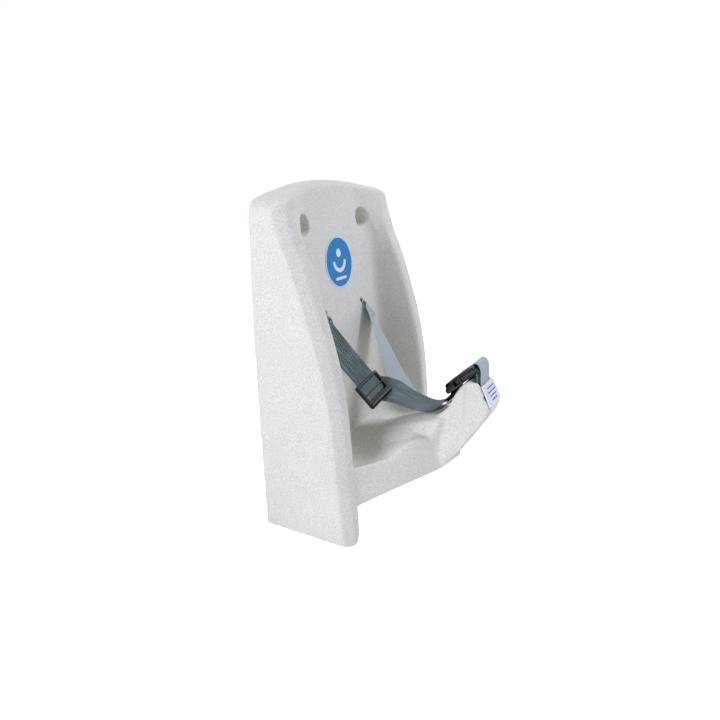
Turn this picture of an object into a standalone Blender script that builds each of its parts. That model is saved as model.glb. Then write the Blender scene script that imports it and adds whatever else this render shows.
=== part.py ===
"""Wall mounted child seat: a hollow moulded back with a saddle seat and a post in front, two
webbing straps with a length slider, a side-release buckle held to the head of the post, and the
steel parts that fasten it to a wall. Metres, +Z up. The front faces -Y, the wall is the plane
y = 0, and the origin lies in that plane, midway between the two wall holes."""

import math

import bmesh
import bpy
import numpy as np
from mathutils import Matrix, Vector

# Fits shared by all pieces
CLEARANCE = 0.0003
OVERRUN = 0.005
EMBED = 0.002
WALL = 0.004
CORNER_REACH_SHARE = 0.48
ROUND_STEPS = 24
WIDE_STEPS = 32
ROD_STEPS = 16
SCREW_STEPS = 12
LABEL_STEPS = 48
RECESS_SIDES = 6

# Back shell: height, half width and depth at the side, with their run up the height
SHELL_HEIGHT = 0.490
SHELL_HALF_WIDTH = 0.1573
SHELL_SIDE_DEPTH = 0.131
HALF_WIDTH_SHARES = ((0, 0.933), (0.33, 0.977), (0.65, 1.0), (0.88, 0.987), (1, 0.985))
SIDE_DEPTH_SHARES = (
    (0, 1.0), (0.12, 0.965), (0.21, 0.93), (0.3, 0.915), (0.38, 0.885), (0.45, 0.847), (0.53, 0.786),
    (0.6, 0.713), (0.67, 0.626), (0.74, 0.539), (0.81, 0.435), (0.88, 0.313), (0.92, 0.26), (1, 0.25),
)
CHAMFER_WIDTH = 0.0136
CHAMFER_DEPTH = 0.0124
WING_THICKNESS = 0.036
WING_THICKNESS_SHARES = (
    (0, 0.52), (0.012, 0.68), (0.03, 0.8), (0.07, 0.86), (0.3, 0.9), (0.55, 1.0), (1, 1.0),
)
WING_DRAFT = 0.005
WING_DRAFT_SHARES = ((0, 1), (0.6, 1), (0.75, 2), (0.85, 4.5), (0.92, 8), (1, 12))
SIDE_EDGE_RADIUS = 0.002
RIDGE_RADIUS = 0.005
WING_EDGE_RADIUS = 0.008
PANEL_FILLET = 0.015
PANEL_DEPTH = 0.041
PANEL_DEPTH_HEIGHT = 0.374
PANEL_LEAN_DEGREES = 7.75
FOOT_ROLL = 0.006
TOP_ROLL = 0.008
ARCH_RADIUS = 0.5316
SHOULDER_RADIUS = 0.018
SHELL_LEVEL_SHARES = (
    0.03, 0.06, 0.12, 0.21, 0.3, 0.38, 0.45, 0.53, 0.6, 0.67, 0.74, 0.8, 0.86, 0.91, 0.955,
)
ARCH_START_SHARE = 0.8
CHAMFER_POINT_SHARES = (0.36, 0.62)
PANEL_POINT_SHARES = (0.34, 0.67)

# Wall holes, back plate and its screws
HOLE_DROP = 0.057
HOLE_HEIGHT = SHELL_HEIGHT - HOLE_DROP
HOLE_SPACING = 0.1616
COUNTERBORE_DIAMETER = 0.030
COUNTERBORE_FLOOR = 0.014
CUP_WALL = 0.005
SLEEVE_BORE = 0.0085
SLEEVE_WALL = 0.002
PLATE_LENGTH = 0.230
PLATE_HEIGHT = 0.056
PLATE_THICKNESS = 0.003
PLATE_SCREW_SPACING = 0.216
PLATE_SCREW_RISE = 0.018
PLATE_SCREW_DIAMETER = 0.004
PLATE_SCREW_HEAD = 0.008
PLATE_SCREW_LENGTH = 0.020
BOSS_DIAMETER = 0.011
RIB_SPACING = 0.068
RIB_THICKNESS = 0.0035

# Strap slots and the bars behind them
SLOT_OFFSET = 0.068
SLOT_HEIGHT = 0.295
SLOT_LENGTH = 0.047
SLOT_WIDTH = 0.006
SLOT_SLOPE_DEGREES = 43.0
BAR_DIAMETER = 0.006
BAR_SETBACK = 0.022
BAR_POST_THICKNESS = 0.006
BAR_POST_WIDTH = 0.014

# Saddle seat
SEAT_HALF_WIDTH = 0.120
SEAT_HEIGHT = 0.122
SEAT_REAR = 0.076
LIP_REACH = 0.133
LIP_RAKE_SHARE = 0.91
SEAT_SIDE_BOTTOM = 0.056
SEAT_REAR_BOTTOM = 0.050
PROW_RISE_SHARE = 0.38
LIP_ROLL = 0.012
LIP_FLARE = 0.006
SEAT_BOTTOM_ROLL = 0.005
SEAT_SIDE_EMBED = 0.005
SEAT_COLUMN_SHARES = (0, 0.1, 0.2, 0.29, 0.38, 0.46, 0.54, 0.63, 0.79, 1.0)
SEAT_ROW_SHARES = (0, 0.1, 0.22, 0.36, 0.5, 0.64, 0.78, 0.9)
SEAT_TABLE_SHARES = (0, 0.2, 0.29, 0.42, 0.52, 0.63, 0.79, 1.05)
SEAT_TABLE_ROW_SHARES = (0, 0.25, 0.5, 0.75, 1)
SEAT_RISE_SHARES = (
    (1.00, 1.10, 1.25, 1.38, 1.43),
    (1.00, 1.06, 1.20, 1.30, 1.41),
    (0.99, 1.02, 1.13, 1.20, 1.19),
    (0.98, 0.93, 0.96, 1.09, 1.19),
    (0.96, 0.86, 0.88, 1.02, 1.14),
    (0.95, 0.84, 0.85, 0.93, 1.01),
    (0.95, 0.87, 0.87, 0.90, 0.97),
    (0.95, 0.90, 0.89, 0.91, 0.95),
)

# Post and T-shaped head: shares of height, rear reach, front reach, rear and front half width
HEAD_TOP = 0.231
HEAD_REACH = 0.289
HEAD_HALF_WIDTH = 0.025
POST_SHARES = (
    (0.42, 0.66, 0.803, 1.04, 0.96), (0.51, 0.66, 0.849, 1.20, 1.12), (0.585, 0.675, 0.886, 1.08, 1.08),
    (0.66, 0.69, 0.922, 0.92, 0.96), (0.715, 0.70, 0.951, 0.84, 0.88), (0.762, 0.749, 0.974, 0.80, 0.90),
    (0.805, 0.782, 0.993, 0.78, 0.96), (0.840, 0.796, 1.0, 0.78, 1.0), (0.870, 0.804, 1.0, 0.78, 1.0),
    (0.93, 0.83, 1.0, 0.80, 1.0), (0.97, 0.855, 1.0, 0.88, 1.0), (0.991, 0.875, 0.940, 0.92, 0.96),
    (1.0, 0.886, 0.931, 0.84, 0.90),
)
POST_STEP_SHARE = 0.865
POST_CAVITY_TOP_SHARE = 0.8
POST_CORNER = 0.004
POST_STEP_EASE = 0.004

# Cover of the head, the pocket behind it, its pin and screws
COVER_REACH = 0.2832
COVER_HEIGHT = 0.213
COVER_TILT_DEGREES = 26.6
COVER_WIDTH = 0.046
COVER_LENGTH = 0.031
COVER_THICKNESS = 0.0025
POCKET_WIDTH = 0.041
POCKET_DEPTH = 0.0105
POCKET_FLOOR_DROP = 0.008
PIN_DIAMETER = 0.005
PIN_LENGTH = 0.046
PIN_DROP = 0.001
COVER_SCREW_SPACING = 0.036
COVER_SCREW_DROP = 0.0118
COVER_SCREW_DIAMETER = 0.0022
COVER_SCREW_HEAD = 0.0044
COVER_SCREW_LENGTH = 0.009
FILM = 0.0005
FRONT_LABEL_WIDTH = 0.040
FRONT_LABEL_LENGTH = 0.025
ROUND_LABEL_DIAMETER = 0.076
ROUND_LABEL_DROP = 0.116

# Webbing
WEBBING_WIDTH = 0.038
WEBBING_THICKNESS = 0.0016
EYE_TAIL_SHARES = ((-0.62, 1.7), (-0.9, 0.8))
EYE_LEAD_SHARES = ((0.95, 0.8), (0.45, 2.2))
LOOP_TAIL = 0.012
LOOP_TAIL_SHARES = (0, 0.5, 1)
LOOP_TAIL_SLOPE_DEGREES = 15.0
FRONT_LOOP_TOP_SHARE = 1.5
FRONT_LOOP_OUTER_SHARES = (1.25, 1.55)
PIN_TURN_DEGREES = (-60, -105, -150)

# Side-release buckle: y runs back along it, from the gap between its halves
BUCKLE_SETBACK = 0.014
BUCKLE_DROP = 0.0015
BUCKLE_TILT_DEGREES = 44.0
BUCKLE_WIDTH = 0.050
BUCKLE_THICKNESS = 0.013
BUCKLE_SAG = 0.0022
BUCKLE_SHOULDER_SHARE = 0.35
BUCKLE_TOP_SHARE = 0.72
SOCKET_SHARES = (
    (0, 0.98, 0.94), (0.06, 1, 1), (0.3, 1, 1), (0.55, 0.96, 0.97), (0.8, 0.91, 0.86),
    (0.96, 0.86, 0.72), (1, 0.82, 0.56),
)
TONGUE_SHARES = ((0, 0.94, 0.55), (0.05, 0.97, 0.72), (0.3, 1.0, 0.86), (0.7, 1.06, 0.95), (1, 1.09, 0.97))
SOCKET_FRONT = -0.004
SOCKET_REAR = 0.028
SOCKET_BORE_END = 0.0145
SOCKET_BORE_HEIGHT = 0.0078
SOCKET_WALL = 0.004
WEB_SLOT = 0.003
WEB_SLOT_WIDTH = 0.040
WEB_BAR = 0.003
WINDOW_START = -0.0005
WINDOW_END = 0.0095
TONGUE_REAR = -0.005
TONGUE_FRONT = -0.032
TONGUE_BAR = 0.0036
TONGUE_SLOT = 0.0044
TONGUE_FRONT_WIDTH = 0.045
PRONG_WIDTH = 0.008
PRONG_HEIGHT = 0.004
PRONG_END = 0.012
ARM_OFFSET = 0.015
ARM_PIVOT = -0.0075
ARM_ROOT_RADIUS = 0.0026
ARM_THICKNESS = 0.0034
ARM_HEIGHT = 0.006
ARM_END = 0.0130
ARM_PAD_THICKNESS = 0.0045
ARM_PAD_SETBACK = 0.0018
ARM_CATCH_SETBACK = 0.0012

# Length slider
SLIDER_WIDTH = 0.048
SLIDER_TOP = 0.017
SLIDER_BOTTOM = -0.021
SLIDER_THICKNESS = 0.0066
SLIDER_BORE_WIDTH = 0.0404
SLIDER_BORE_HEIGHT = 0.0030
SLIDER_REAR_BAR = 0.004
SLIDER_WINDOWS = (0.0135, 0.0100)
SLIDER_MIDDLE_BAR = 0.0018
SLIDER_LIP_RADIUS = 0.0045
SLIDER_EDGE = 0.0012

# Routes of the straps, in the seat's own frame: x, y, z of the middle, then the direction across
SLIDER_PLACE = (-0.0485, -0.123, 0.206)
SLIDER_UP = (-0.19, 0.65, 0.735)
SLIDER_ACROSS = (0.93, -0.15, 0.33)
SLIDER_TRAVEL = 0.020
SLIDER_LEAD = 0.003
LEFT_REAR_ROUTE = (((-0.0655, -0.063, 0.284), (0.80, -0.05, 0.60)),)
LEFT_FRONT_ROUTE = (
    ((-0.0434, -0.1435, 0.1838), (0.93, -0.15, 0.33)),
    ((-0.0375, -0.1530, 0.1885), (0.88, -0.08, 0.47)),
    ((-0.0300, -0.1580, 0.1965), (0.84, 0, 0.54)),
    ((-0.0225, -0.1690, 0.1920), (0.90, 0, 0.44)),
    ((-0.0145, -0.1835, 0.1855), (0.95, 0, 0.30)),
    ((-0.0065, -0.1970, 0.1808), (0.99, 0, 0.14)),
    ((-0.0010, -0.2065, 0.1815), (1, 0, 0.03)),
)
RIGHT_ROUTE = (
    ((0.0640, -0.060, 0.285), (0.78, 0, -0.62)),
    ((0.0575, -0.071, 0.274), (0.85, 0, -0.50)),
    ((0.0460, -0.089, 0.254), (0.95, -0.05, -0.25)),
    ((0.0310, -0.108, 0.234), (0.97, -0.1, -0.20)),
    ((0.0175, -0.127, 0.212), (1, -0.1, 0.03)),
    ((0.0080, -0.147, 0.1965), (1, 0, 0)),
    ((0.0030, -0.166, 0.1825), (1, 0, 0)),
    ((0, -0.186, 0.1728), (1, 0, 0)),
)
# Their ends, sewn to the buckle's loop: y and z in the buckle's frame
LEFT_END = ((0.0440, -0.0118), (0.0360, -0.0096))
RIGHT_END = ((0.0620, -0.0165), (0.0480, -0.0184), (0.0370, -0.0163))
STRAP_SMOOTHING = 3

COLOURS = {
    "moulded_plastic": ((0.80, 0.80, 0.78), 0.55, 0),
    "zinc_steel": ((0.55, 0.56, 0.57), 0.35, 1),
    "grey_webbing": ((0.22, 0.25, 0.26), 0.85, 0),
    "light_webbing": ((0.55, 0.60, 0.64), 0.85, 0),
    "black_plastic": ((0.02, 0.02, 0.022), 0.35, 0),
    "cover_plastic": ((0.82, 0.83, 0.84), 0.4, 0),
    "label_film": ((0.03, 0.25, 0.60), 0.3, 0),
    "white_film": ((0.85, 0.87, 0.92), 0.3, 0),
}


def clear_scene():
    for obj in list(bpy.data.objects):
        bpy.data.objects.remove(obj, do_unlink=True)


def new_collection(name):
    made = bpy.data.collections.new(name)
    bpy.context.scene.collection.children.link(made)
    return made


def new_material(name):
    colour, roughness, metallic = COLOURS[name]
    material = bpy.data.materials.new(name)
    material.use_nodes = True
    shader = material.node_tree.nodes["Principled BSDF"]
    shader.inputs["Base Color"].default_value = (*colour, 1)
    shader.inputs["Roughness"].default_value = roughness
    shader.inputs["Metallic"].default_value = metallic
    return material


clear_scene()
PARTS = new_collection("wall_child_seat")
TOOLS = new_collection("cutters")
MATERIALS = {name: new_material(name) for name in COLOURS}

seat_base = bpy.data.objects.new("seat_base", None)
seat_base.location.z = -HOLE_HEIGHT
PARTS.objects.link(seat_base)


def add_piece(name, bm, material=None, frame=None):
    """A piece of the seat, or with no material a cutting or joining tool, placed by a frame in the seat."""
    bmesh.ops.recalc_face_normals(bm, faces=bm.faces)
    mesh = bpy.data.meshes.new(name)
    bm.to_mesh(mesh)
    bm.free()
    obj = bpy.data.objects.new(name, mesh)
    obj.parent = seat_base
    if frame is not None:
        obj.matrix_local = frame
    if material is None:
        TOOLS.objects.link(obj)
        obj.hide_render = True
        obj.display_type = "WIRE"
    else:
        PARTS.objects.link(obj)
        mesh.materials.append(MATERIALS[material])
    return obj


def combine(obj, operation, tools):
    """Joins or cuts with all the tools at once, so that their shared edges are worked out exactly."""
    name = obj.name + "_" + operation.lower() + "_" + str(len(obj.modifiers))
    group = bpy.data.collections.new(name)
    TOOLS.children.link(group)
    for tool in tools:
        group.objects.link(tool)
        TOOLS.objects.unlink(tool)
    step = obj.modifiers.new(operation.lower(), "BOOLEAN")
    step.operation = operation
    step.operand_type = "COLLECTION"
    step.collection = group
    step.solver = "EXACT"


def round_edges(obj, width, segments=1):
    step = obj.modifiers.new("edges", "BEVEL")
    step.width = width
    step.segments = segments
    step.limit_method = "ANGLE"


def smooth_shaded(obj, degrees=35):
    obj.data.shade_smooth()
    obj.data.set_sharp_from_angle(angle=math.radians(degrees))


def box(size, centre):
    bm = bmesh.new()
    bmesh.ops.create_cube(bm, size=1, matrix=Matrix.Translation(centre) @ Matrix.Diagonal((*size, 1)))
    return bm


def cylinder(radius, start, end, steps=ROUND_STEPS, end_radius=None):
    """A cylinder, or a cone, whose axis runs from start to end."""
    start, end = Vector(start), Vector(end)
    axis = end - start
    bm = bmesh.new()
    bmesh.ops.create_cone(
        bm,
        cap_ends=True,
        segments=steps,
        radius1=radius,
        radius2=radius if end_radius is None else end_radius,
        depth=axis.length,
        matrix=Matrix.Translation((start + end) / 2) @ axis.to_track_quat("Z", "Y").to_matrix().to_4x4(),
    )
    return bm


def frame_of(origin, x_axis, y_axis):
    """A right-handed frame with the given x axis, and a y axis as near as can be to the given one."""
    x = Vector(x_axis).normalized()
    z = x.cross(Vector(y_axis)).normalized()
    y = z.cross(x)
    frame = Matrix((x, y, z)).transposed().to_4x4()
    frame.translation = Vector(origin)
    return frame


def slab(front, back, flat_back=False):
    """A closed body between two grids of points that lie row by row opposite each other."""
    bm = bmesh.new()
    near, far = [[[bm.verts.new(point) for point in row] for row in grid] for grid in (front, back)]
    rows, columns = len(front), len(front[0])
    for grid in (near,) if flat_back else (near, far):
        for i in range(rows - 1):
            for j in range(columns - 1):
                bm.faces.new((grid[i][j], grid[i + 1][j], grid[i + 1][j + 1], grid[i][j + 1]))
    for i in range(rows - 1):
        for j in (0, columns - 1):
            bm.faces.new((near[i][j], near[i + 1][j], far[i + 1][j], far[i][j]))
    for j in range(columns - 1):
        for i in (0, rows - 1):
            bm.faces.new((near[i][j], near[i][j + 1], far[i][j + 1], far[i][j]))
    bmesh.ops.triangulate(bm, faces=bm.faces)
    if flat_back:
        rim = far[0] + [row[-1] for row in far[1:]] + far[-1][-2::-1] + [row[0] for row in far[-2:0:-1]]
        bm.faces.new(rim)
        for vert in [vert for row in far for vert in row if not vert.link_faces]:
            bm.verts.remove(vert)
    return bm


def loft(rings):
    """A closed body through closed rings of as many points each."""
    bm = bmesh.new()
    made = [[bm.verts.new(point) for point in ring] for ring in rings]
    count = len(rings[0])
    for first, second in zip(made, made[1:]):
        for j in range(count):
            k = (j + 1) % count
            bm.faces.new((first[j], first[k], second[k], second[j]))
    for ring in (made[0], made[-1]):
        bm.faces.new(ring)
    bmesh.ops.triangulate(bm, faces=bm.faces)
    return bm


def share_at(shares, at):
    return float(np.interp(at, [row[0] for row in shares], [row[1] for row in shares]))


def hermite(knots, values, at):
    """A smooth curve through the values at the knots."""
    knots = np.asarray(knots, float)
    values = np.asarray(values, float)
    slopes = np.gradient(values, knots)
    i = int(np.clip(np.searchsorted(knots, at) - 1, 0, len(knots) - 2))
    width = knots[i + 1] - knots[i]
    t = (at - knots[i]) / width
    return float(
        (2 * t**3 - 3 * t**2 + 1) * values[i]
        + (t**3 - 2 * t**2 + t) * width * slopes[i]
        + (3 * t**2 - 2 * t**3) * values[i + 1]
        + (t**3 - t**2) * width * slopes[i + 1]
    )


def eased_corner(before, corner, after, radius, points):
    """Points along a rounded corner, whose tangent length stays under half of each neighbouring side."""
    before, corner, after = (np.asarray(p, float) for p in (before, corner, after))
    back, on = before - corner, after - corner
    back_length, on_length = np.linalg.norm(back), np.linalg.norm(on)
    cosine = np.clip(np.dot(back, on) / (back_length * on_length), -1, 1)
    half_turn = (math.pi - math.acos(cosine)) / 2
    tangent = min(radius * math.tan(half_turn), CORNER_REACH_SHARE * min(back_length, on_length))
    start = corner + back / back_length * tangent
    end = corner + on / on_length * tangent
    steps = np.linspace(0, 1, points)
    return [(1 - t) ** 2 * start + 2 * t * (1 - t) * corner + t**2 * end for t in steps]


def inset_corners(corners, inset):
    """An open outline moved inward, to its right as it runs, with mitred corners."""
    corners = np.asarray(corners, float)
    runs = np.diff(corners, axis=0)
    runs /= np.linalg.norm(runs, axis=1)[:, None]
    normals = np.column_stack([runs[:, 1], -runs[:, 0]])
    moved = [corners[0] + inset * normals[0]]
    for corner, before, after in zip(corners[1:-1], normals, normals[1:]):
        moved.append(corner + inset * (before + after) / (1 + np.dot(before, after)))
    moved.append(corners[-1] + inset * normals[-1])
    return moved


# Back shell


PANEL_LEAN = math.tan(math.radians(PANEL_LEAN_DEGREES))


def panel_depth(z):
    return PANEL_DEPTH + PANEL_LEAN * (PANEL_DEPTH_HEIGHT - z)


def shell_section(z, inset):
    """One level of the back shell, from its right side to its left: points (x, y) of the front."""
    share = min(max(z / SHELL_HEIGHT, 0), 1)
    half = SHELL_HALF_WIDTH * share_at(HALF_WIDTH_SHARES, share)
    side = SHELL_SIDE_DEPTH * share_at(SIDE_DEPTH_SHARES, share)
    wing = WING_THICKNESS * share_at(WING_THICKNESS_SHARES, share)
    draft = WING_DRAFT * share_at(WING_DRAFT_SHARES, share)
    front = side + CHAMFER_DEPTH
    panel = panel_depth(z)
    corners = inset_corners(
        [
            (half, 0),
            (half, -side),
            (half - min(CHAMFER_WIDTH, wing / 2), -front),
            (half - wing, -front),
            (half - wing - draft, -panel),
            (0, -panel),
        ],
        inset,
    )
    root, edge, ridge, brow, crease, middle = corners
    points = eased_corner(root, edge, ridge, SIDE_EDGE_RADIUS, 2)
    points += [edge + (ridge - edge) * share for share in CHAMFER_POINT_SHARES]
    points += eased_corner(edge, ridge, brow, RIDGE_RADIUS, 2)
    points += eased_corner(ridge, brow, crease, WING_EDGE_RADIUS, 4)
    points += eased_corner(brow, crease, middle, PANEL_FILLET + draft - WING_DRAFT, 4)
    last = points[-1]
    points += [last + (middle - last) * share for share in PANEL_POINT_SHARES]
    left = [(-x, y) for x, y in reversed(points)]
    return [tuple(point) for point in points] + [tuple(middle)] + left


def top_outline(x, inset):
    """Height of the arched top and its round shoulders at x."""
    half = SHELL_HALF_WIDTH * share_at(HALF_WIDTH_SHARES, 1)
    arch_z = SHELL_HEIGHT - ARCH_RADIUS
    corner_x = half - SHOULDER_RADIUS
    between = ARCH_RADIUS - SHOULDER_RADIUS
    corner_z = arch_z + math.sqrt(between**2 - corner_x**2)
    arch, corner = ARCH_RADIUS - inset, SHOULDER_RADIUS - inset
    if abs(x) <= corner_x * arch / between:
        return arch_z + math.sqrt(arch**2 - x**2)
    reach = min(abs(x) - corner_x, corner)
    return corner_z + math.sqrt(corner**2 - reach**2)


def shell_body(wall, rear, foot_roll, top_roll):
    """The back shell's outer form, or the form inside its wall, down to the plane y = rear."""
    low, high = wall, SHELL_HEIGHT - wall
    arch_start = SHELL_HEIGHT * ARCH_START_SHARE
    turns = (0, math.pi / 4, math.pi / 2)
    levels = [(low + foot_roll * (1 - math.sin(a)), foot_roll * (1 - math.cos(a))) for a in reversed(turns)]
    levels += [(SHELL_HEIGHT * share, 0) for share in SHELL_LEVEL_SHARES]
    levels += [(high - top_roll * (1 - math.sin(a)), top_roll * (1 - math.cos(a))) for a in turns]
    front, back = [], []
    for z, roll in levels:
        section = shell_section(z, wall + roll)
        rise = max(z - arch_start, 0) / (high - arch_start)
        base = arch_start if rise else z
        heights = [base + rise * (top_outline(x, wall) - arch_start) for x, _ in section]
        front.append([(x, y, height) for (x, y), height in zip(section, heights)])
        back.append([(x, rear, height) for (x, _), height in zip(section, heights)])
    return slab(front, back, flat_back=True)


def front_depth(x, z):
    """Depth of the outer front at a place on the back."""
    section = shell_section(z, 0)
    return -float(np.interp(x, [p[0] for p in reversed(section)], [p[1] for p in reversed(section)]))


# Saddle seat


def seat_top(x, along):
    across = min(abs(x) / SEAT_HALF_WIDTH, SEAT_TABLE_SHARES[-1])
    heights = [hermite(SEAT_TABLE_ROW_SHARES, row, along) for row in SEAT_RISE_SHARES]
    return SEAT_HEIGHT * hermite(SEAT_TABLE_SHARES, heights, across)


def seat_roof(x, along, wall):
    """Height of the seat's top, or of the hollow below it, which keeps the wall on its slopes too."""
    beside = abs(x) + wall
    return min(seat_top(x, along), seat_top(beside, along)) - wall


def seat_ring(x, wall, rear):
    """The seat cut at x: from the back along the top, over the lip, down the front and back below."""
    inward = SEAT_HALF_WIDTH - min(abs(x), SEAT_HALF_WIDTH)
    lip = LIP_REACH + LIP_RAKE_SHARE * inward - wall
    bottom = SEAT_SIDE_BOTTOM + PROW_RISE_SHARE * inward + wall
    top = [
        (-(SEAT_REAR + share * (lip - SEAT_REAR)), seat_roof(x, share, wall))
        for share in SEAT_ROW_SHARES
    ]
    brow = (-lip, seat_roof(x, 1, wall))
    toe = (-(lip + LIP_FLARE), bottom)
    heel = (-rear, SEAT_REAR_BOTTOM + wall)
    outline = [(-rear, top[0][1]), *top]
    outline += [tuple(p) for p in eased_corner(top[-1], brow, toe, LIP_ROLL, 4)]
    outline += [tuple(p) for p in eased_corner(brow, toe, heel, SEAT_BOTTOM_ROLL, 3)]
    outline.append(heel)
    return [(x, y, z) for y, z in outline]


def seat_body(wall, rear, half_width):
    shares = [-share for share in reversed(SEAT_COLUMN_SHARES[1:])] + list(SEAT_COLUMN_SHARES)
    return loft([seat_ring(half_width * share, wall, rear) for share in shares])


# Post and head


def cover_seat(z):
    """Place of the plane that the head's cover lies against, at a height."""
    tilt = math.radians(COVER_TILT_DEGREES)
    depth = COVER_THICKNESS + CLEARANCE
    return depth / math.cos(tilt) - COVER_REACH + (z - COVER_HEIGHT) * math.tan(tilt)


def post_ring(station, wall):
    height, rear, front, rear_half, front_half = station
    z = HEAD_TOP * height
    back = -(HEAD_REACH * rear + wall)
    fore = max(-(HEAD_REACH * front - wall), cover_seat(z) + wall)
    step = min(-HEAD_REACH * POST_STEP_SHARE, back - POST_STEP_EASE)
    step = max(step, fore + 2 * POST_STEP_EASE)
    inner = HEAD_HALF_WIDTH * rear_half - wall
    outer = HEAD_HALF_WIDTH * front_half - wall
    half = [(inner, back), (inner, step), (outer, step - POST_STEP_EASE), (outer, fore)]
    corners = half + [(-x, y) for x, y in reversed(half)]
    ring = []
    for i, corner in enumerate(corners):
        before, after = corners[i - 1], corners[(i + 1) % len(corners)]
        ring += [(x, y, z) for x, y in eased_corner(before, corner, after, POST_CORNER, 3)]
    return ring


def post_body(wall, top_share):
    stations = [station for station in POST_SHARES if station[0] <= top_share]
    return loft([post_ring(station, wall) for station in stations])


# Frames of the panel, the slots, the cover and the buckle

PANEL_UP = Vector((0, PANEL_LEAN, 1)).normalized()
PANEL_OUT = Vector((0, -1, PANEL_LEAN)).normalized()


def slot_frame(side):
    """At the middle of a slot: x along the slot, away from the seat's middle, and z out of the panel."""
    slope = math.radians(SLOT_SLOPE_DEGREES)
    along = Vector((1, 0, 0)) * side * math.cos(slope) - PANEL_UP * math.sin(slope)
    origin = (side * SLOT_OFFSET, -panel_depth(SLOT_HEIGHT), SLOT_HEIGHT)
    return frame_of(origin, along, PANEL_OUT.cross(along))


COVER_TILT = math.radians(COVER_TILT_DEGREES)
COVER_FRAME = frame_of(
    (0, -COVER_REACH, COVER_HEIGHT), (1, 0, 0), (0, math.sin(COVER_TILT), math.cos(COVER_TILT))
)
BUCKLE_TILT = math.radians(BUCKLE_TILT_DEGREES)
# The buckle lies behind and below the rear top edge of the head.
HEAD_REAR = HEAD_REACH * POST_SHARES[-1][1]
BUCKLE_PLACE = (0, BUCKLE_SETBACK - HEAD_REAR, HEAD_TOP - BUCKLE_DROP)
BUCKLE_FRAME = Matrix.Translation(BUCKLE_PLACE) @ Matrix.Rotation(-BUCKLE_TILT, 4, "X")
LABEL_HEIGHT = SHELL_HEIGHT - ROUND_LABEL_DROP
LABEL_FRAME = frame_of((0, -panel_depth(LABEL_HEIGHT), LABEL_HEIGHT), (1, 0, 0), PANEL_UP)
SLIDER_FRAME = frame_of(SLIDER_PLACE, SLIDER_ACROSS, SLIDER_UP)


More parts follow.
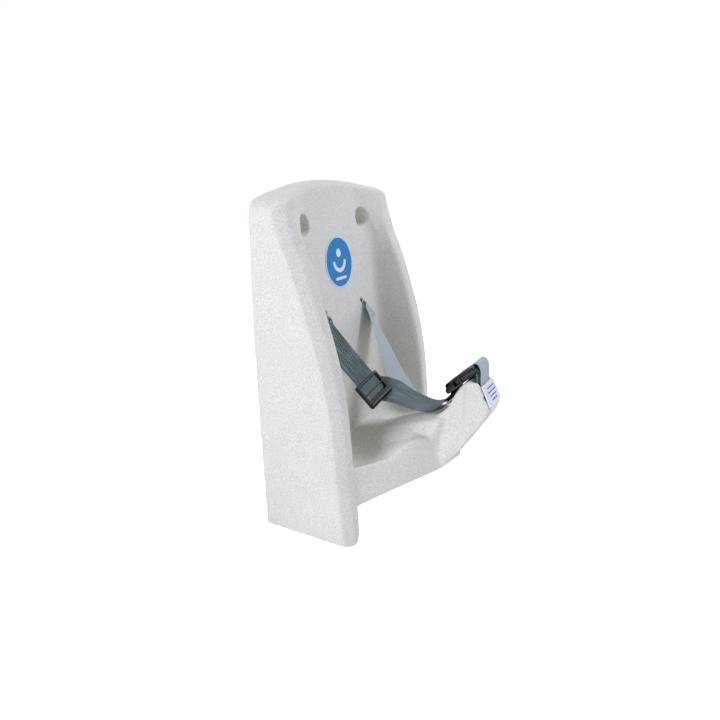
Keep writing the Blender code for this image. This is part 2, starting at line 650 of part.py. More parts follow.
def make_body_shell():
    body = add_piece("body_shell", shell_body(0, 0, FOOT_ROLL, TOP_ROLL), "moulded_plastic")
    seat_reach = SEAT_HALF_WIDTH + SEAT_SIDE_EMBED
    seat = add_piece("seat_form", seat_body(0, SEAT_REAR - 5 * EMBED, seat_reach))
    post = add_piece("post_form", post_body(0, 1))
    combine(body, "UNION", [seat, post])

    inner_roll = WALL / 2
    inner_side = SEAT_HALF_WIDTH - 2 * WALL
    hollow = add_piece("shell_hollow", shell_body(WALL, OVERRUN, inner_roll, inner_roll))
    seat_hollow = add_piece("seat_hollow", seat_body(WALL, SEAT_REAR - 2 * WALL, inner_side))
    post_hollow = add_piece("post_hollow", post_body(WALL, POST_CAVITY_TOP_SHARE))
    combine(body, "DIFFERENCE", [hollow, seat_hollow, post_hollow])

    joined, cuts = [], []
    setback = PLATE_THICKNESS + CLEARANCE
    for side in (-1, 1):
        word = "left" if side < 0 else "right"
        # A rib down the back, its front edge sunk into the leaning panel.
        x = side * RIB_SPACING / 2
        foot, head = WALL - EMBED, top_outline(x, WALL) + EMBED / 2
        reach = WALL - EMBED
        outline = [
            (-setback, foot), (-panel_depth(foot) + reach, foot),
            (-panel_depth(head) + reach, head), (-setback, head),
        ]
        rings = [[(x + dx, y, z) for y, z in outline] for dx in (-RIB_THICKNESS / 2, RIB_THICKNESS / 2)]
        joined.append(add_piece("rib_" + word, loft(rings)))

        # The cup of a wall hole, its counterbore and the bore of its sleeve.
        x = side * HOLE_SPACING / 2
        radius = COUNTERBORE_DIAMETER / 2
        depth = front_depth(x, HOLE_HEIGHT)
        ends = ((x, -setback, HOLE_HEIGHT), (x, -depth + EMBED, HOLE_HEIGHT))
        joined.append(add_piece("cup_" + word, cylinder(radius + CUP_WALL, *ends, WIDE_STEPS)))
        ends = ((x, -COUNTERBORE_FLOOR, HOLE_HEIGHT), (x, -depth - 3 * OVERRUN, HOLE_HEIGHT))
        bore = cylinder(radius, *ends, WIDE_STEPS)
        cuts.append(add_piece("counterbore_" + word, bore))
        sleeve_bore = SLEEVE_BORE / 2 + SLEEVE_WALL + CLEARANCE
        bore = cylinder(sleeve_bore, (x, 0, HOLE_HEIGHT), (x, -COUNTERBORE_FLOOR - EMBED, HOLE_HEIGHT))
        cuts.append(add_piece("sleeve_bore_" + word, bore))

        # Bosses for the screws of the back plate.
        for rise, level in ((PLATE_SCREW_RISE, "upper"), (-PLATE_SCREW_RISE, "lower")):
            x, z = side * PLATE_SCREW_SPACING / 2, HOLE_HEIGHT + rise
            depth = front_depth(x, z)
            boss = cylinder(BOSS_DIAMETER / 2, (x, -setback, z), (x, -depth + WALL - EMBED, z), ROD_STEPS)
            joined.append(add_piece("boss_" + level + "_" + word, boss))
            end = -setback - PLATE_SCREW_LENGTH
            pilot = cylinder(PLATE_SCREW_DIAMETER / 2 + CLEARANCE, (x, 0, z), (x, end, z), SCREW_STEPS)
            cuts.append(add_piece("pilot_" + level + "_" + word, pilot))

        # The slot, and two posts behind the panel that hold its bar.
        frame = slot_frame(side)
        slot = box((SLOT_LENGTH, SLOT_WIDTH, 4 * WALL), (0, 0, 0))
        cuts.append(add_piece("slot_" + word, slot, frame=frame))
        for end in (-1, 1):
            x = end * (WEBBING_WIDTH / 2 + BAR_POST_THICKNESS)
            low, high = -BAR_SETBACK - BAR_DIAMETER, -WALL + EMBED
            post = box((BAR_POST_THICKNESS, BAR_POST_WIDTH, high - low), (x, 0, (low + high) / 2))
            name = "bar_post_" + word + ("_inner" if end < 0 else "_outer")
            joined.append(add_piece(name, post, frame=frame))
        reach = WEBBING_WIDTH / 2 + 2 * BAR_POST_THICKNESS
        ends = ((-reach, 0, -BAR_SETBACK), (reach, 0, -BAR_SETBACK))
        hole = cylinder(BAR_DIAMETER / 2 + CLEARANCE, *ends, ROD_STEPS)
        cuts.append(add_piece("bar_hole_" + word, hole, frame=frame))

    # The pocket in the head, its pin grooves and screw pilots.
    face = -COVER_THICKNESS - CLEARANCE
    mouth = face + OVERRUN
    height = COVER_LENGTH + POCKET_FLOOR_DROP
    middle = (0, height / 2 - POCKET_FLOOR_DROP, (mouth + face - POCKET_DEPTH) / 2)
    pocket = box((POCKET_WIDTH, height, POCKET_DEPTH + OVERRUN), middle)
    cuts.append(add_piece("pocket", pocket, frame=COVER_FRAME))
    width = PIN_DIAMETER + 2 * CLEARANCE
    low = pin_depth() - width / 2
    groove = box((PIN_LENGTH + 2 * CLEARANCE, width, mouth - low), (0, -PIN_DROP, (mouth + low) / 2))
    cuts.append(add_piece("pin_groove", groove, frame=COVER_FRAME))
    for side in (-1, 1):
        x, y = side * COVER_SCREW_SPACING / 2, -COVER_SCREW_DROP
        ends = ((x, y, mouth), (x, y, -COVER_SCREW_LENGTH - CLEARANCE))
        pilot = cylinder(COVER_SCREW_DIAMETER / 2 + CLEARANCE / 2, *ends, SCREW_STEPS)
        cuts.append(add_piece("cover_pilot_" + ("left" if side < 0 else "right"), pilot, frame=COVER_FRAME))
    combine(body, "UNION", joined)
    combine(body, "DIFFERENCE", cuts)
    smooth_shaded(body)


def pin_depth():
    """Place of the front pin's axis behind the cover's face."""
    return -COVER_THICKNESS - CLEARANCE - POCKET_DEPTH / 2


def countersunk_screw(name, sizes, frame, steps):
    """A screw driven along -z from its head's face at the origin. Returns the cutters of its hole."""
    shank, head, length = sizes[0] / 2, sizes[1] / 2, sizes[2]
    cone = head - shank
    screw = add_piece(name, cylinder(head, (0, 0, 0), (0, 0, -cone), steps, shank), "zinc_steel", frame)
    body = cylinder(shank, (0, 0, -cone / 2), (0, 0, -length), steps)
    recess = cylinder(shank / 2, (0, 0, OVERRUN), (0, 0, -cone / 2), RECESS_SIDES)
    combine(screw, "UNION", [add_piece(name + "_shank", body, frame=frame)])
    combine(screw, "DIFFERENCE", [add_piece(name + "_recess", recess, frame=frame)])
    smooth_shaded(screw)
    wide = head + CLEARANCE + EMBED
    sink = cylinder(wide, (0, 0, EMBED), (0, 0, -cone), steps, shank + CLEARANCE)
    bore = cylinder(shank + CLEARANCE, (0, 0, OVERRUN), (0, 0, -OVERRUN), steps)
    return [add_piece(name + "_sink", sink, frame=frame), add_piece(name + "_bore", bore, frame=frame)]


def make_back_plate():
    """The steel plate, its countersunk screws and the sleeves of the wall holes."""
    middle = (0, -PLATE_THICKNESS / 2, HOLE_HEIGHT)
    plate = box((PLATE_LENGTH, PLATE_THICKNESS, PLATE_HEIGHT), middle)
    plate = add_piece("back_plate", plate, "zinc_steel")
    holes = []
    number = 1
    for side in (-1, 1):
        word = "left" if side < 0 else "right"
        x = side * HOLE_SPACING / 2
        bore = cylinder(SLEEVE_BORE / 2, (x, OVERRUN, HOLE_HEIGHT), (x, -OVERRUN, HOLE_HEIGHT))
        holes.append(add_piece("plate_hole_" + word, bore))
        ends = ((x, -PLATE_THICKNESS - CLEARANCE, HOLE_HEIGHT), (x, -COUNTERBORE_FLOOR, HOLE_HEIGHT))
        tube = cylinder(SLEEVE_BORE / 2 + SLEEVE_WALL, *ends)
        sleeve = add_piece("hole_sleeve_" + word, tube, "zinc_steel")
        ends = ((x, 0, HOLE_HEIGHT), (x, -COUNTERBORE_FLOOR - OVERRUN, HOLE_HEIGHT))
        bore = cylinder(SLEEVE_BORE / 2, *ends)
        combine(sleeve, "DIFFERENCE", [add_piece("sleeve_inside_" + word, bore)])
        smooth_shaded(sleeve)
        for rise in (PLATE_SCREW_RISE, -PLATE_SCREW_RISE):
            place = Matrix.Translation((side * PLATE_SCREW_SPACING / 2, 0, HOLE_HEIGHT + rise))
            frame = place @ Matrix.Rotation(-math.pi / 2, 4, "X")
            name = "back_plate_screw_" + str(number)
            sizes = (PLATE_SCREW_DIAMETER, PLATE_SCREW_HEAD, PLATE_SCREW_LENGTH)
            holes += countersunk_screw(name, sizes, frame, ROD_STEPS)
            number += 1
    combine(plate, "DIFFERENCE", holes)


def make_strap_bars():
    for side in (-1, 1):
        word = "left" if side < 0 else "right"
        reach = WEBBING_WIDTH / 2 + 3 * BAR_POST_THICKNESS / 2
        rod = cylinder(BAR_DIAMETER / 2, (-reach, 0, -BAR_SETBACK), (reach, 0, -BAR_SETBACK), ROD_STEPS)
        smooth_shaded(add_piece("strap_bar_" + word, rod, "zinc_steel", slot_frame(side)))


# Webbing


def webbing(route, width=WEBBING_WIDTH, smoothing=STRAP_SMOOTHING):
    """A flat strap through stations of a middle point and a direction across, on one smooth curve."""
    places = np.array([list(place) for place, _ in route], float)
    acrosses = np.array([list(across) for _, across in route], float)
    chord = np.linalg.norm(np.diff(places, axis=0), axis=1)
    knots = np.concatenate([[0], np.cumsum(np.sqrt(chord))])
    at = [a + (b - a) * k / smoothing for a, b in zip(knots, knots[1:]) for k in range(smoothing)]
    at.append(knots[-1])
    middle = np.array([[hermite(knots, places[:, axis], t) for axis in range(3)] for t in at])
    across = np.array([[hermite(knots, acrosses[:, axis], t) for axis in range(3)] for t in at])
    tangent = np.gradient(middle, np.array(at), axis=0)
    tangent /= np.linalg.norm(tangent, axis=1)[:, None]
    across -= tangent * (across * tangent).sum(axis=1)[:, None]
    across *= width / 2 / np.linalg.norm(across, axis=1)[:, None]
    normal = np.cross(tangent, across)
    normal *= WEBBING_THICKNESS / 2 / np.linalg.norm(normal, axis=1)[:, None]
    upper = [(m + n - a, m + n + a) for m, n, a in zip(middle, normal, across)]
    lower = [(m - n - a, m - n + a) for m, n, a in zip(middle, normal, across)]
    return slab(upper, lower)


def eye_route(side):
    """The strap's end in its slot: in through the panel, round the bar and back onto itself."""
    frame = slot_frame(side)
    radius = (BAR_DIAMETER + WEBBING_THICKNESS) / 2 + CLEARANCE
    turn = [math.pi / 4 * step for step in range(-2, 3)]
    low = [(radius * math.sin(a), -BAR_SETBACK - radius * math.cos(a)) for a in turn]
    tail = [(radius * y, radius * z - BAR_SETBACK) for y, z in EYE_TAIL_SHARES]
    lead = [(radius * y, radius * z - BAR_SETBACK) for y, z in EYE_LEAD_SHARES]
    outline = tail + low + lead + [(0, -2 * WALL), (0, -WALL / 2), (0, WALL)]
    across = frame.to_3x3() @ Vector((side, 0, 0))
    return [(tuple(frame @ Vector((0, y, z))), tuple(across)) for y, z in outline]


def slider_run():
    """The straight stretch of the left strap on which the slider travels, from its top down."""
    up = SLIDER_FRAME.to_3x3().col[1]
    across = tuple(SLIDER_FRAME.to_3x3().col[0])
    middle = Vector(SLIDER_PLACE)
    top, bottom = SLIDER_TOP + SLIDER_TRAVEL + SLIDER_LEAD, SLIDER_BOTTOM
    places = [top + SLIDER_LEAD, top, top / 2, 0, bottom / 2, bottom, bottom - SLIDER_LEAD]
    return [(tuple(middle + up * place), across) for place in places]


def end_route(places):
    return [(tuple(BUCKLE_FRAME @ Vector((0, y, z))), (1, 0, 0)) for y, z in places]


def make_straps():
    left = eye_route(-1) + list(LEFT_REAR_ROUTE) + slider_run()
    left += list(LEFT_FRONT_ROUTE) + end_route(LEFT_END)
    right = eye_route(1) + list(RIGHT_ROUTE) + end_route(RIGHT_END)
    smooth_shaded(add_piece("strap_left", webbing(left), "grey_webbing"))
    smooth_shaded(add_piece("strap_right", webbing(right), "grey_webbing"))


def make_strap_loop():
    """Doubled webbing: up one slot of the socket, over the bar between, down the other, then together."""
    bar = SOCKET_BORE_END + SOCKET_WALL / 2 - WEBBING_THICKNESS / 4 + WEB_SLOT + WEB_BAR / 2
    leg = (WEB_BAR + WEB_SLOT) / 2
    under = -BUCKLE_THICKNESS / 2
    top = BUCKLE_THICKNESS / 2 - BUCKLE_SAG * (bar / SOCKET_REAR) ** 2 + CLEARANCE
    slope = math.radians(LOOP_TAIL_SLOPE_DEGREES)
    along = Vector((math.cos(slope), -math.sin(slope)))
    out = Vector((along.y, -along.x))
    pair = WEBBING_THICKNESS / 2 + CLEARANCE
    root = Vector((bar + leg, under)) + along * leg - Vector((0, leg))
    ends = [root + along * LOOP_TAIL * share for share in LOOP_TAIL_SHARES]
    upper = [end - out * pair for end in ends]
    lower = [end + out * pair for end in ends]
    crown = top - EMBED / 2
    over = [(bar + leg, 0), (bar + leg, crown), (bar, top + WEBBING_THICKNESS), (bar - leg, crown)]
    down = [(bar - leg, 0), (bar - leg, under), (bar - leg / 3, under - leg)]
    outline = [tuple(p) for p in reversed(upper)] + [(bar + leg, under - EMBED / 2)] + over + down
    outline += [tuple(p) for p in lower]
    route = [((0, y, z), (1, 0, 0)) for y, z in outline]
    smooth_shaded(add_piece("strap_loop", webbing(route, smoothing=2), "grey_webbing", BUCKLE_FRAME))


def make_front_strap():
    """A loop of webbing round the pin in the head and round the front bar of the tongue."""
    radius = (PIN_DIAMETER + WEBBING_THICKNESS) / 2 + CLEARANCE
    pin = Vector((0, -PIN_DROP, pin_depth()))
    to_cover = COVER_FRAME.inverted() @ BUCKLE_FRAME
    slot_y = TONGUE_FRONT + TONGUE_BAR + TONGUE_SLOT / 2
    rise = BUCKLE_THICKNESS / 2
    bar = to_cover @ Vector((0, TONGUE_FRONT, 0))
    through = [to_cover @ Vector((0, slot_y, z)) for z in (rise + EMBED, 0, -rise - EMBED)]
    loop_top = to_cover @ Vector((0, TONGUE_FRONT + TONGUE_BAR / 2, FRONT_LOOP_TOP_SHARE * rise))
    near_share, far_share = FRONT_LOOP_OUTER_SHARES
    around = [math.radians(angle) for angle in PIN_TURN_DEGREES]
    outline = [
        (pin.y, pin.z + radius),
        (COVER_LENGTH / 2, pin.z + radius),
        (bar.y - rise, (pin.z + bar.z) / 2 + near_share * rise),
        (bar.y + rise / 2, bar.z + far_share * rise),
        (loop_top.y, loop_top.z + EMBED),
        *[(point.y, point.z) for point in through],
        (COVER_LENGTH / 2 + EMBED, pin.z - radius / 2),
        (pin.y + radius, pin.z - radius),
        *[(pin.y + radius * math.cos(a), pin.z + radius * math.sin(a)) for a in around],
    ]
    route = [((0, y, z), (1, 0, 0)) for y, z in outline]
    smooth_shaded(add_piece("front_strap", webbing(route), "light_webbing", COVER_FRAME))


# Head fittings


def make_front_cover():
    plate = box((COVER_WIDTH, COVER_LENGTH, COVER_THICKNESS), (0, 0, -COVER_THICKNESS / 2))
    cover = add_piece("front_cover", plate, "cover_plastic", COVER_FRAME)
    tools = []
    for number, side in ((1, -1), (2, 1)):
        frame = COVER_FRAME @ Matrix.Translation((side * COVER_SCREW_SPACING / 2, -COVER_SCREW_DROP, 0))
        sizes = (COVER_SCREW_DIAMETER, COVER_SCREW_HEAD, COVER_SCREW_LENGTH)
        tools += countersunk_screw("front_cover_screw_" + str(number), sizes, frame, SCREW_STEPS)
    combine(cover, "DIFFERENCE", tools)
    ends = [(side * PIN_LENGTH / 2, -PIN_DROP, pin_depth()) for side in (-1, 1)]
    pin = cylinder(PIN_DIAMETER / 2, *ends, ROD_STEPS)
    smooth_shaded(add_piece("front_strap_pin", pin, "zinc_steel", COVER_FRAME))
    label = box((FRONT_LABEL_WIDTH, FRONT_LABEL_LENGTH, FILM), (0, 0, CLEARANCE + FILM / 2))
    add_piece("front_label", label, "white_film", COVER_FRAME)


def make_round_label():
    label = cylinder(ROUND_LABEL_DIAMETER / 2, (0, 0, CLEARANCE), (0, 0, CLEARANCE + FILM), LABEL_STEPS)
    smooth_shaded(add_piece("round_label", label, "label_film", LABEL_FRAME))


# Buckle


def buckle_ring(y, width, thickness):
    """A rounded section across the buckle, dropped by the sag of its arched back."""
    sag = -BUCKLE_SAG * (y / SOCKET_REAR) ** 2
    half, rise = width / 2, thickness / 2
    right = [(half, -rise), (half, rise * BUCKLE_SHOULDER_SHARE), (half * BUCKLE_TOP_SHARE, rise)]
    corners = right + [(-x, z) for x, z in reversed(right)]
    ring = []
    for i, corner in enumerate(corners):
        before, after = corners[i - 1], corners[(i + 1) % len(corners)]
        ring += [(x, y, z + sag) for x, z in eased_corner(before, corner, after, thickness / 4, 2)]
    return ring


def make_buckle_socket():
    span = SOCKET_REAR - SOCKET_FRONT
    rings = [
        buckle_ring(SOCKET_FRONT + span * along, BUCKLE_WIDTH * wide, BUCKLE_THICKNESS * thick)
        for along, wide, thick in SOCKET_SHARES
    ]
    socket = add_piece("buckle_socket", loft(rings), "black_plastic", BUCKLE_FRAME)
    bore_width = BUCKLE_WIDTH - 2 * SOCKET_WALL
    bore_start = SOCKET_FRONT - OVERRUN
    cuts = [
        box(
            (bore_width, SOCKET_BORE_END - bore_start, SOCKET_BORE_HEIGHT),
            (0, (SOCKET_BORE_END + bore_start) / 2, 0),
        ),
        box(
            (BUCKLE_WIDTH + OVERRUN, WINDOW_END - WINDOW_START, SOCKET_BORE_HEIGHT),
            (0, (WINDOW_END + WINDOW_START) / 2, 0),
        ),
    ]
    first = SOCKET_BORE_END + SOCKET_WALL / 2 - WEBBING_THICKNESS / 4
    for place in (first, first + WEB_SLOT + WEB_BAR):
        size = (WEB_SLOT_WIDTH, WEB_SLOT, 2 * BUCKLE_THICKNESS)
        cuts.append(box(size, (0, place + WEB_SLOT / 2, 0)))
    tools = [add_piece("socket_cut_" + str(i), bm, frame=BUCKLE_FRAME) for i, bm in enumerate(cuts)]
    combine(socket, "DIFFERENCE", tools)
    smooth_shaded(socket)


def make_buckle_tongue():
    span = TONGUE_REAR - TONGUE_FRONT
    rings = [
        buckle_ring(TONGUE_FRONT + span * along, TONGUE_FRONT_WIDTH * wide, BUCKLE_THICKNESS * thick)
        for along, wide, thick in TONGUE_SHARES
    ]
    tongue = add_piece("buckle_tongue", loft(rings), "black_plastic", BUCKLE_FRAME)
    start = TONGUE_REAR - EMBED
    prong = box((PRONG_WIDTH, PRONG_END - start, PRONG_HEIGHT), (0, (PRONG_END + start) / 2, 0))
    combine(tongue, "UNION", [add_piece("prong", prong, frame=BUCKLE_FRAME)])
    slot_middle = TONGUE_FRONT + TONGUE_BAR + TONGUE_SLOT / 2
    slot = box((WEB_SLOT_WIDTH, TONGUE_SLOT, 2 * BUCKLE_THICKNESS), (0, slot_middle, 0))
    cuts = [add_piece("tongue_slot", slot, frame=BUCKLE_FRAME)]
    height = ARM_HEIGHT / 2 + CLEARANCE
    radius = ARM_ROOT_RADIUS + CLEARANCE
    for side in (-1, 1):
        word = "left" if side < 0 else "right"
        x = side * ARM_OFFSET
        seat = cylinder(radius, (x, ARM_PIVOT, -height), (x, ARM_PIVOT, height), ROD_STEPS)
        end = TONGUE_REAR + OVERRUN
        mouth = box((2 * radius, end - ARM_PIVOT, 2 * height), (x, (end + ARM_PIVOT) / 2, 0))
        cuts.append(add_piece("arm_seat_" + word, seat, frame=BUCKLE_FRAME))
        cuts.append(add_piece("arm_mouth_" + word, mouth, frame=BUCKLE_FRAME))
    combine(tongue, "DIFFERENCE", cuts)
    smooth_shaded(tongue)


def make_release_arms():
    for side in (-1, 1):
        word = "left" if side < 0 else "right"
        frame = BUCKLE_FRAME @ Matrix.Translation((side * ARM_OFFSET, ARM_PIVOT, 0))
        half = ARM_HEIGHT / 2
        root = cylinder(ARM_ROOT_RADIUS, (0, 0, -half), (0, 0, half), ROD_STEPS)
        arm = add_piece("release_arm_" + word, root, "black_plastic", frame)
        beam = box((ARM_THICKNESS, ARM_END - ARM_PIVOT, ARM_HEIGHT), (0, (ARM_END - ARM_PIVOT) / 2, 0))
        start = WINDOW_START - ARM_PIVOT + CLEARANCE
        end = WINDOW_END - ARM_PIVOT - CLEARANCE
        outer = BUCKLE_WIDTH / 2 - ARM_OFFSET - ARM_PAD_SETBACK
        ramp = outer - ARM_PAD_THICKNESS
        catch = outer - ARM_CATCH_SETBACK
        pad_outline = [(0, start), (catch, start), (outer, (start + end) / 2), (ramp, end), (0, end)]
        pad = loft([[(side * x, y, z) for x, y in pad_outline] for z in (-half, half)])
        tools = [
            add_piece("arm_beam_" + word, beam, frame=frame),
            add_piece("arm_pad_" + word, pad, frame=frame),
        ]
        combine(arm, "UNION", tools)
        smooth_shaded(arm)


def make_strap_slider():
    """A frame with two windows and a thick bar at its lower end, through which the strap runs."""
    length, middle = SLIDER_TOP - SLIDER_BOTTOM, (SLIDER_TOP + SLIDER_BOTTOM) / 2
    frame = box((SLIDER_WIDTH, length, SLIDER_THICKNESS), (0, middle, 0))
    slider = add_piece("strap_slider", frame, "black_plastic", SLIDER_FRAME)
    round_edges(slider, SLIDER_EDGE)
    y, z = SLIDER_BOTTOM + SLIDER_LIP_RADIUS - EMBED / 2, EMBED / 2
    ends = [(side * (SLIDER_WIDTH / 2 - SLIDER_EDGE / 2), y, z) for side in (-1, 1)]
    lip = cylinder(SLIDER_LIP_RADIUS, *ends)
    combine(slider, "UNION", [add_piece("slider_lip", lip, frame=SLIDER_FRAME)])
    cuts = [box((SLIDER_BORE_WIDTH, length + 2 * OVERRUN, SLIDER_BORE_HEIGHT), (0, middle, 0))]
    width = SLIDER_BORE_WIDTH - 2 * CLEARANCE
    place = SLIDER_TOP - SLIDER_REAR_BAR
    for window in SLIDER_WINDOWS:
        cuts.append(box((width, window, SLIDER_THICKNESS), (0, place - window / 2, SLIDER_THICKNESS / 2)))
        place -= window + SLIDER_MIDDLE_BAR
    cuts.append(box((width, length / 2, SLIDER_THICKNESS), (0, 0, -SLIDER_THICKNESS / 2)))
    tools = [add_piece("slider_cut_" + str(i), bm, frame=SLIDER_FRAME) for i, bm in enumerate(cuts)]
    combine(slider, "DIFFERENCE", tools)
    smooth_shaded(slider)


make_body_shell()
make_back_plate()
make_strap_bars()
make_straps()
make_strap_loop()
make_front_strap()
make_front_cover()
make_round_label()
make_buckle_socket()
make_buckle_tongue()
make_release_arms()
make_strap_slider()
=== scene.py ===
import math

import bmesh
import bpy
import numpy as np
from mathutils import Matrix, Vector


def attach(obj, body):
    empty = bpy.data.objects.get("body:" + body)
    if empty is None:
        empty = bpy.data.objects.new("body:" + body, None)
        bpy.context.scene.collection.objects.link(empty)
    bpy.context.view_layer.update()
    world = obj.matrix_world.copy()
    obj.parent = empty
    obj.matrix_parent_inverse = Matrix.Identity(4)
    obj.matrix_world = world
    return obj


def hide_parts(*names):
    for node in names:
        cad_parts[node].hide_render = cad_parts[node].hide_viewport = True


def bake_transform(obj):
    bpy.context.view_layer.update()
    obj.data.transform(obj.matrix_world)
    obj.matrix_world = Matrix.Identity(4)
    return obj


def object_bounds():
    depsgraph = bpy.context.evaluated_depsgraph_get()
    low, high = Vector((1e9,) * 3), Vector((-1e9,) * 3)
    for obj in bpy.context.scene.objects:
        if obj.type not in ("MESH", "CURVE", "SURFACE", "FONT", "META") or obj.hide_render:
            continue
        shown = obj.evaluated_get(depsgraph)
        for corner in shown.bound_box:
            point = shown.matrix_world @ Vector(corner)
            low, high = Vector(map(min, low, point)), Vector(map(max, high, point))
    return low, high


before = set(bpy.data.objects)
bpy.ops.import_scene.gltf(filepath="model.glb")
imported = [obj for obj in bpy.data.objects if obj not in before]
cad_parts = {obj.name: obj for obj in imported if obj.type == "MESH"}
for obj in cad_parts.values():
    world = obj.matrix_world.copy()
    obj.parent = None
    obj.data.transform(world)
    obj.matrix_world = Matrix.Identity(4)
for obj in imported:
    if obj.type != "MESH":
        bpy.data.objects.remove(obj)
cad_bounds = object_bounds()

# Camera
# A grown person's view from the left, a little above the seat, as the photograph was taken.
CAMERA_PLACE = (-0.7909, -0.5063, 0.0806)
CAMERA_AIM = (-0.0373, -0.0964, -0.1917)
LENS = 31.07
SENSOR_WIDTH = 36.0

camera_data = bpy.data.cameras.new("camera")
camera_data.lens = LENS
camera_data.sensor_width = SENSOR_WIDTH
camera = bpy.data.objects.new("camera", camera_data)
bpy.context.scene.collection.objects.link(camera)
camera.location = CAMERA_PLACE
camera.rotation_euler = (Vector(CAMERA_AIM) - Vector(CAMERA_PLACE)).to_track_quat("-Z", "Y").to_euler()
bpy.context.scene.camera = camera

# Floor and studio light
# A plain pale floor and even white surroundings. One broad soft lamp stands at the seat's left, level
# with the wall, so the left wing shades the seat's inside, and a weaker one fills from high in front.
# A dark card takes the wall's place behind the open back as painted shade, so the holes and slots look
# into shade. Only the camera sees it, and only from in front, so it shades nothing and the back can be
# seen.
FLOOR_GAP = 0.0005
FLOOR_HALF = 6.0
FLOOR_COLOUR = (0.9, 0.9, 0.9)
FLOOR_GLOW = 0.8
SURROUND_COLOUR = (0.94, 0.97, 1.11, 1)
SURROUND_LIGHT = 0.3
LAMPS = (("side_lamp", (-1.9, 0.35, 0.5), 24), ("front_lamp", (0.75, -1.35, 1.55), 25))
LAMP_SIZE = 0.9
LAMP_COLOUR = (0.955, 0.975, 1.12)
LAMP_AIM = (0, -0.1, -0.2)
CARD_HALF_WIDTH = 0.149
CARD_TOP = 0.03
CARD_BOTTOM = -0.28
PAINTED_SHADE_CARD_COLOUR = (0.12, 0.12, 0.11)


def add_node(tree, kind, inputs=None, **settings):
    """A shader node. Each input is a plain value, or another node's output, which is linked to it."""
    node = tree.nodes.new(kind)
    for name, value in settings.items():
        setattr(node, name, value)
    for name, value in (inputs or {}).items():
        if isinstance(value, bpy.types.NodeSocket):
            tree.links.new(value, node.inputs[name])
        else:
            node.inputs[name].default_value = value
    return node


def maths(tree, operation, *values):
    return add_node(tree, "ShaderNodeMath", dict(enumerate(values)), operation=operation).outputs[0]


def seen_ray(tree):
    """One where the camera, a reflection or a refraction looks, else zero."""
    path = add_node(tree, "ShaderNodeLightPath").outputs
    either = maths(tree, "MAXIMUM", path["Is Camera Ray"], path["Is Glossy Ray"])
    return maths(tree, "MAXIMUM", either, path["Is Transmission Ray"])


world = bpy.data.worlds.new("studio")
bpy.context.scene.world = world
world.use_nodes = True
world_tree = world.node_tree
surround = world_tree.nodes["Background"]
surround.inputs["Color"].default_value = SURROUND_COLOUR
surround.inputs["Strength"].default_value = SURROUND_LIGHT
white = add_node(world_tree, "ShaderNodeBackground", {"Color": (1, 1, 1, 1), "Strength": 1})
sides = {0: seen_ray(world_tree), 1: surround.outputs[0], 2: white.outputs[0]}
world_mix = add_node(world_tree, "ShaderNodeMixShader", sides)
world_tree.links.new(world_mix.outputs[0], world_tree.nodes["World Output"].inputs["Surface"])

for name, place, power in LAMPS:
    lamp_data = bpy.data.lights.new(name, "AREA")
    lamp_data.size = LAMP_SIZE
    lamp_data.energy = power
    lamp_data.color = LAMP_COLOUR
    lamp = bpy.data.objects.new(name, lamp_data)
    bpy.context.scene.collection.objects.link(lamp)
    lamp.location = place
    lamp.rotation_euler = (Vector(LAMP_AIM) - Vector(place)).to_track_quat("-Z", "Y").to_euler()


def new_finish(name, colour, roughness, metallic=0.0):
    """A Principled material, its node tree and its shader."""
    material = bpy.data.materials.new(name)
    material.use_nodes = True
    shader = material.node_tree.nodes["Principled BSDF"]
    shader.inputs["Base Color"].default_value = (*colour, 1)
    shader.inputs["Roughness"].default_value = roughness
    shader.inputs["Metallic"].default_value = metallic
    return material, material.node_tree, shader


def backdrop(name, corners, material):
    """A flat sheet that belongs to the studio and not to the seat."""
    mesh = bpy.data.meshes.new(name)
    mesh.from_pydata(corners, [], [range(len(corners))])
    mesh.materials.append(material)
    sheet = bpy.data.objects.new(name, mesh)
    bpy.context.scene.collection.objects.link(sheet)


floor_finish, floor_tree, floor_shader = new_finish("floor", FLOOR_COLOUR, 1)
floor_shader.inputs["Emission Color"].default_value = (1, 1, 1, 1)
glow = maths(floor_tree, "MULTIPLY", seen_ray(floor_tree), FLOOR_GLOW)
floor_tree.links.new(glow, floor_shader.inputs["Emission Strength"])
floor_height = cad_bounds[0].z - FLOOR_GAP
quarters = ((-1, -1), (1, -1), (1, 1), (-1, 1))
backdrop("floor", [(x * FLOOR_HALF, y * FLOOR_HALF, floor_height) for x, y in quarters], floor_finish)

# The card's dark colour is painted shade, seen through the holes and slots.
card_finish, card_tree, card_shader = new_finish("painted_shade_card", PAINTED_SHADE_CARD_COLOUR, 1)
clear = add_node(card_tree, "ShaderNodeBsdfTransparent")
behind = add_node(card_tree, "ShaderNodeNewGeometry").outputs["Backfacing"]
card_path = add_node(card_tree, "ShaderNodeLightPath").outputs
unseen = maths(card_tree, "SUBTRACT", 1, card_path["Is Camera Ray"])
hidden = maths(card_tree, "MAXIMUM", behind, unseen)
card_sides = {0: hidden, 1: card_shader.outputs[0], 2: clear.outputs[0]}
card_mix = add_node(card_tree, "ShaderNodeMixShader", card_sides)
card_tree.links.new(card_mix.outputs[0], card_tree.nodes["Material Output"].inputs["Surface"])
card_middle = (CARD_TOP + CARD_BOTTOM) / 2
card_half = (CARD_TOP - CARD_BOTTOM) / 2
card_corners = [(x * CARD_HALF_WIDTH, FLOOR_GAP, card_middle + y * card_half) for x, y in quarters]
backdrop("painted_shade_card", card_corners, card_finish)

bpy.context.scene.view_settings.view_transform = "Standard"

